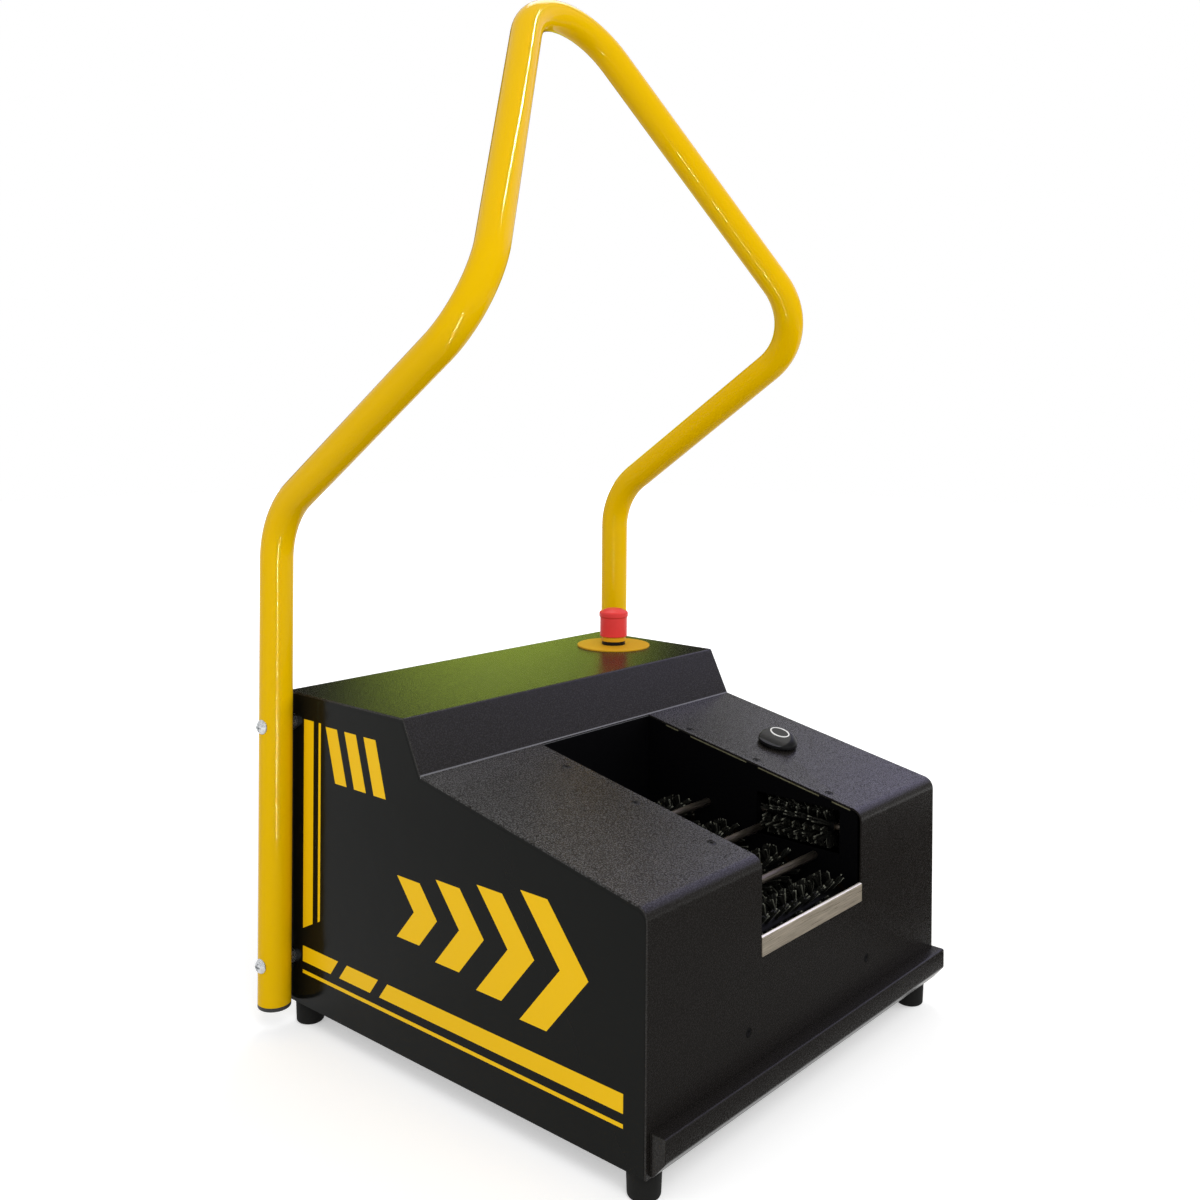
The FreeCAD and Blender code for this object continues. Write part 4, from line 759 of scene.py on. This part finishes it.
class OBJECT_OT_sole_start_knob(bpy.types.Operator):
    """Build the start knob on the deck"""

    bl_idname = "object.sole_start_knob"
    bl_label = "Start Knob"

    def execute(self, context):
        """Height is the smallest of a dome, a tilted top and a steeper flat beside it, blended softly:
        -k log(sum(exp(-h / k))), but no less than the rim's. The underside is hollow, so that the knob
        goes down over its bezel. A plain printed oval lies on the tilted top."""
        sizes = context.scene.sole_housing
        low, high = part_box("start_button")
        depth = (low.y + high.y) / 2 - FRONT
        stand, radius, side, tall, rim, soft = 0.0023, 0.0215, 0.003, 0.0142, 0.0028, 0.0004
        tilt, steep, crease, hollow = 0.40, 0.62, -0.012, (0.018, 0.0019)
        top_height, flat_height = 0.0100, 0.0052
        place, normal = deck_point(sizes, (low.x + high.x) / 2, depth, stand)

        def height(a, b):
            dome = side + (tall - side) * np.clip(1 - (np.hypot(a, b) / radius) ** 3, 0, 1) ** 0.8
            top = top_height + tilt * a
            flat = flat_height + steep * (a - crease)
            return np.maximum(-soft * np.log(sum(np.exp(-h / soft) for h in (dome, top, flat))), rim)

        knob = aimed(dished(radius, 0.0, height, 48, 120, hollow), place, normal)
        piece("start_knob", [knob], "switch_black", "start_button", ["start_button"])
        turn = np.arange(72) * 2 * np.pi / 72
        a, b = np.cos(turn), np.sin(turn)
        middle, half_wide, half_long = (0.0022, 0.0008), 0.0058, 0.0112
        line, sunk, raised = 0.0008, -0.0003, 0.00012
        rings = []
        for grow, lift in ((line, sunk), (line, raised), (-line, raised), (-line, sunk)):
            x, y = middle[0] + (half_wide + grow) * a, middle[1] + (half_long + grow) * b
            rings.append(np.stack([x, y, height(x, y) + lift], -1))
        printed = (np.concatenate(rings), [grid_faces(4, len(turn), True, True)])
        mark = piece("start_mark", [aimed(printed, place, normal)], "switch_black", "start_button")
        dress(mark, "start_mark")
        return {"FINISHED"}


def tufted(centre_axis, start, end, axis, core, reach, around, along, sizes, seed):
    """Tufts in rows round an axis, 0 for x or 1 for y. A tuft is a fan of strands that leans along the axis,
    each row to the other side than the row before it. At share t of its height a strand stands at
    root + t lean + (0.25 + 0.75 t) fan, on the radius core + t (reach - core), wrapped by offset / radius.
    The tip value, which pales a strand as painted light, is (0.3 + 0.7 t) pale; pale is a painted highlight,
    high on a fan's last strands, which stand for the tuft's lit edge, and low elsewhere, as painted shade."""
    draw = np.random.default_rng(seed)
    # how far tufts stray in place, angle and lean, strands at their tips, and by what share they are short
    shift, swing, bend, loose, short = 0.0006, 0.05, 0.15, 0.0005, 0.12
    # a row's shift by share of the pitch, a fan's spread and a tip value at the root by share of the tip's,
    # as painted shade at the root
    aside, gathered, dark = 0.22, 0.25, 0.3
    sunk, hole, sleeve = 0.0005, 0.0001, 0.0007
    scale = (reach - core) / (sizes.roller_tuft - sizes.roller_core)
    fan_a, fan_b = (side.reshape(1, -1, 1, 1) for side in
                    np.meshgrid(np.linspace(-1, 1, 5), np.linspace(-1, 1, 2), indexing="ij"))
    edge = fan_a == 1
    fan_a, fan_b = fan_a * sizes.tuft_long / 2 * scale, fan_b * sizes.tuft_short / 2 * scale
    row, step = (count.reshape(-1, 1, 1, 1) for count in
                 np.meshgrid(np.arange(around), np.arange(along), indexing="ij"))
    tufts, strands = (row.size, 1, 1, 1), (row.size, fan_a.size, 1, 1)
    pitch = (end - start) / along
    middle = start + pitch * (step + 0.5 + aside * (row % 2 * 2 - 1)) + draw.normal(0, shift, tufts)
    phi = row * 2 * np.pi / around + draw.normal(0, swing, tufts)
    lean = np.where(row % 2 == 0, 1, -1) * sizes.tuft_lean * scale * (1 + draw.normal(0, bend, tufts))
    level = np.array([[0.0], [1.0]])
    side_a, side_b = np.array([[-1, 1, 1, -1], [-1, -1, 1, 1]]) * sizes.strand / 2
    opened = gathered + (1 - gathered) * level
    a = middle + level * lean + opened * fan_a + side_a
    a = np.clip(a + level * draw.normal(0, loose, strands), start, end)
    b = opened * fan_b + side_b + level * draw.normal(0, loose, strands)
    root = core - sunk
    r = root + (reach - root) * (1 - short * draw.random(strands)) * level
    turned = phi + b / np.maximum(r, core)
    parts = np.broadcast_arrays(a, r * np.cos(turned), r * np.sin(turned))
    order = [parts[1], parts[0], parts[2]] if axis else parts
    points = np.stack(order, -1).reshape(-1, 3) + np.asarray(centre_axis)
    one = np.concatenate([grid_faces(2, 4, False, True), [[4, 5, 6, 7]]])
    faces = (np.arange(row.size * fan_a.size)[:, None, None] * 8 + one).reshape(-1, 4)
    # painted highlight on a fan's last strands, the tuft's lit edge; the other strands stay dark as painted
    # shade
    pale = np.where(edge, 0.35 + 0.65 * draw.random(strands), 0.04)
    tip = np.broadcast_to((dark + (1 - dark) * level) * pale, parts[0].shape).ravel()
    # a sleeve round the core, which takes the tip value 0 and so the darkest painted shade
    inner, outer = core + hole, core + sleeve
    profile = [(inner, start), (outer, start), (outer, end), (inner, end)]
    band = aimed(lathe(profile, 32, True), centre_axis, (0, 1, 0) if axis else (1, 0, 0))
    return [(points, [faces]), band], np.concatenate([tip, np.zeros(len(band[0]))])


class OBJECT_OT_sole_tufts(bpy.types.Operator):
    """Build the tufts of the four rollers and of both side brushes"""

    bl_idname = "object.sole_tufts"
    bl_label = "Brush Tufts"

    def execute(self, context):
        """Rows of tufts round each axis, which ride on the roller or brush that carries them."""
        sizes = context.scene.sole_brushes
        brushes = [(f"roller_{number}", 0, sizes.roller_core, sizes.roller_tuft, 12, 10, number)
                   for number in range(1, 5)]
        brushes += [(f"side_brush_{side}", 1, sizes.side_core, sizes.side_tuft, 14, 7, seed)
                    for side, seed in (("left", 11), ("right", 12))]
        for body, axis, core, reach, around, along, seed in brushes:
            low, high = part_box(f"{body}_tufts")
            centre = [(a + b) / 2 for a, b in zip(low, high)]
            centre[axis] = 0
            shapes, tip = tufted(centre, low[axis], high[axis], axis, core, reach, around, along, sizes, seed)
            piece(f"{body}_bristles", shapes, "brush_nylon", body, [f"{body}_tufts"], tip=tip)
        return {"FINISHED"}


class OBJECT_OT_sole_carried(bpy.types.Operator):
    """Give every part that is shown as it comes from the frame its own finish"""

    bl_idname = "object.sole_carried"
    bl_label = "Carried Parts"

    def execute(self, context):
        """Each node takes the material of its slot in the record."""
        for part in frame["record"]["subparts"]:
            node = frame["nodes"][part["node"]]
            if not node.hide_render:
                dress(node, part["material_slot"])
        return {"FINISHED"}


def faced(made, place, target, front, unseen):
    """Puts a lamp or a card at a place, turns its front to a point and hides it from kinds of rays."""
    made.location = place
    made.rotation_euler = (Vector(target) - Vector(place)).to_track_quat(front, "Y").to_euler()
    for rays in ("camera", *unseen):
        setattr(made, "visible_" + rays, False)
    bpy.context.scene.collection.objects.link(made)


def soft_light(name, place, target, width, height, power, unseen=(), tint="#FFFFFF"):
    """A rectangular lamp that faces a point."""
    lamp = bpy.data.lights.new(name, "AREA")
    lamp.shape = "RECTANGLE"
    lamp.size, lamp.size_y = width, height
    lamp.energy = power
    lamp.color = linear(tint)
    made = bpy.data.objects.new(name, lamp)
    faced(made, place, target, "-Z", unseen)
    return made


def flat_board(name, width, height, finish):
    """A flat rectangle about the origin, face up, and the empty node tree of its material."""
    x, y = width / 2, height / 2
    data = bpy.data.meshes.new(name)
    data.from_pydata([(-x, -y, 0), (x, -y, 0), (x, y, 0), (-x, y, 0)], [], [(0, 1, 2, 3)])
    data.materials.append(bpy.data.materials.new(finish))
    return bpy.data.objects.new(name, data), fresh_nodes(data.materials[0])


def mirror_card(name, place, target, width, height, shade, strength=1.0, fading=False):
    """A card that only reflections see, as a photographer's dark, tinted or glowing board. A fading one
    dims from its middle line to its left and right edges, with the square of the distance."""
    made, tree = flat_board(name, width, height, name)
    if fading:
        share = add(tree, "Math", {0: own_axis(tree, "X"), 1: 2 / width}, operation="MULTIPLY")
        square = add(tree, "Math", {0: share, 1: share}, operation="MULTIPLY")
        strength = add(tree, "MapRange", {"Value": square, "To Min": strength, "To Max": 0.02})
    glow = add(tree, "Emission", {"Color": rgba(shade), "Strength": strength})
    add(tree, "OutputMaterial", {"Surface": glow})
    faced(made, place, target, "Z", ["diffuse", "shadow", "transmission"])


def clear_rays(tree):
    """1 for the rays that should meet plain white: seen straight, mirrored or through glass."""
    path = add(tree, "LightPath").outputs
    seen = add(tree, "Math", {0: path["Is Camera Ray"], 1: path["Is Glossy Ray"]}, operation="MAXIMUM")
    return add(tree, "Math", {0: seen, 1: path["Is Transmission Ray"]}, operation="MAXIMUM")


class OBJECT_OT_sole_stage(bpy.types.Operator):
    """Set the pale floor, the soft light, the white surround and the camera"""

    bl_idname = "object.sole_stage"
    bl_label = "Stage"

    def execute(self, context):
        """A flat floor, area lamps, and a camera at a measured place and heading."""
        scene = context.scene
        scene.view_settings.view_transform = "Standard"
        floor, tree = flat_board("floor", 16.0, 16.0, "pale_studio_floor")
        scene.collection.objects.link(floor)
        matt = add(tree, "BsdfDiffuse", {"Color": rgba("#E6E6E6")})
        spot = add(tree, "TexCoord").outputs["Object"]
        far = add(tree, "VectorMath", {0: spot}, operation="LENGTH").outputs["Value"]
        fade = add(tree, "MapRange", {"Value": far, "From Min": 1.0, "From Max": 3.0, "To Min": 0.42})
        lift = add(tree, "Math", {0: clear_rays(tree), 1: fade}, operation="MULTIPLY")
        glow = add(tree, "Emission", {"Color": rgba("#FFFFFF"), "Strength": lift})
        add(tree, "OutputMaterial", {"Surface": add(tree, "AddShader", {0: matt, 1: glow})})

        scene.world = bpy.data.worlds.new("white_surround")
        tree = fresh_nodes(scene.world)
        strength = add(tree, "MapRange", {"Value": clear_rays(tree), "To Min": 0.55})
        sky = add(tree, "Background", {"Color": rgba("#FFFFFF"), "Strength": strength})
        add(tree, "OutputWorld", {"Surface": sky})

        aim = (0, 0, 0.35)
        soft_light("key_light", (-1.6, -2.2, 2.6), aim, 1.6, 1.6, 52, ["glossy"])
        soft_light("rear_light", (1.2, 0.9, 2.7), aim, 1.2, 0.8, 15)
        soft_light("fill_light", (-2.6, 0.6, 1.4), aim, 1.5, 1.5, 10, ["glossy"])
        soft_light("right_fill", (2.2, -2.0, 1.3), (0, 0, 0.5), 1.5, 1.5, 24, ["glossy"])
        mirror_card("olive_board", (1.82, 1.99, 0.80), (0, 0, 0.35), 1.1, 0.75, "#93A83C", 3.5, True)
        mirror_card("dark_board", (1.75, 2.15, 1.75), (0, 0, 0.3), 2.4, 1.25, "#1C1C22")
        mirror_card("low_board", (2.2, 2.2, 0.80), (0, 0, 0.35), 4.6, 0.95, "#26262A")
        mirror_card("bright_board", (2.6, -0.5, 2.2), (0, 0, 0.3), 3.0, 1.8, "#D9D5FF", 1.9)
        mirror_card("front_board", (2.6, -2.2, 0.8), (0, 0, 0.2), 3.6, 2.0, "#A8A8A8")
        mirror_card("floor_board_near", (0.0, -0.75, 0.004), (0, -0.75, 1), 0.7, 0.95, "#707070")
        mirror_card("floor_board_far", (0.85, -0.75, 0.003), (0.85, -0.75, 1), 1.0, 0.95, "#1E1A18")

        tube = bpy.data.collections.new("tube_only")
        tube.objects.link(bpy.data.objects["handle"])
        for name, place, target, width, tall, power in (
                ("ceiling_strip", (1.11, -0.44, 2.6), (-0.1, 0.06, 1.0), 0.4, 0.07, 26),
                ("forward_strip", (0.78, -0.68, 2.6), (0.65, -0.1, 0.8), 0.75, 0.07, 48),
                ("left_strip", (-0.548, -0.296, 0.31), (-0.269, 0.236, 0.31), 0.03, 0.62, 18)):
            strip = soft_light(name, place, target, width, tall, power, ["diffuse"], "#DCFFC4")
            strip.light_linking.receiver_collection = tube

        camera = bpy.data.cameras.new("camera")
        camera.lens, camera.sensor_width = 38.095, 36.0
        camera.shift_x, camera.shift_y = -0.001246, -0.14620
        camera.clip_start, camera.clip_end = 0.05, 60.0
        yaw, pitch, roll = 0.854945, -0.0072885, 0.0070681
        ahead = Vector((math.sin(yaw) * math.cos(pitch), math.cos(yaw) * math.cos(pitch), math.sin(pitch)))
        right = Vector((math.cos(yaw), -math.sin(yaw), 0))
        up = right.cross(ahead)
        image_right = math.cos(roll) * right + math.sin(roll) * up
        image_up = -math.sin(roll) * right + math.cos(roll) * up
        turn = Matrix((image_right, image_up, -ahead)).transposed()
        viewer = bpy.data.objects.new("camera", camera)
        viewer.matrix_world = Matrix.Translation((-1.02496, -0.86243, 0.63058)) @ turn.to_4x4()
        scene.collection.objects.link(viewer)
        scene.camera = viewer
        return {"FINISHED"}


OPERATORS = (
    OBJECT_OT_sole_cover, OBJECT_OT_sole_sides, OBJECT_OT_sole_strip, OBJECT_OT_sole_drawer,
    OBJECT_OT_sole_well_tabs, OBJECT_OT_sole_feet, OBJECT_OT_sole_handle, OBJECT_OT_sole_cover_screws,
    OBJECT_OT_sole_stop_switch, OBJECT_OT_sole_start_knob, OBJECT_OT_sole_tufts, OBJECT_OT_sole_carried,
    OBJECT_OT_sole_stage,
)


class VIEW3D_PT_sole_cleaner(bpy.types.Panel):
    """Lists the pieces of the machine in the order in which they are built"""

    bl_label = "Sole Cleaner"
    bl_space_type = "VIEW_3D"
    bl_region_type = "UI"
    bl_category = "Sole Cleaner"

    def draw(self, context):
        for operator in OPERATORS:
            self.layout.operator(operator.bl_idname)
        for group in GROUPS:
            box = self.layout.box()
            for name in GROUPS[group].__annotations__:
                box.prop(getattr(context.scene, group), name)


GROUPS = {"sole_housing": HousingSizes, "sole_handle": HandleSizes, "sole_brushes": BrushSizes,
          "sole_colours": Colours}


def register():
    for item in (*GROUPS.values(), *OPERATORS, VIEW3D_PT_sole_cleaner):
        bpy.utils.register_class(item)
    for name, group in GROUPS.items():
        setattr(bpy.types.Scene, name, bpy.props.PointerProperty(type=group))


def unregister():
    for name in GROUPS:
        delattr(bpy.types.Scene, name)
    for item in (VIEW3D_PT_sole_cleaner, *OPERATORS[::-1], *list(GROUPS.values())[::-1]):
        bpy.utils.unregister_class(item)


def main():
    """Builds every piece."""
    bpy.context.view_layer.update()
    register()
    for operator in OPERATORS:
        getattr(bpy.ops.object, operator.bl_idname.split(".")[1])()


if __name__ == "__main__":
    main()
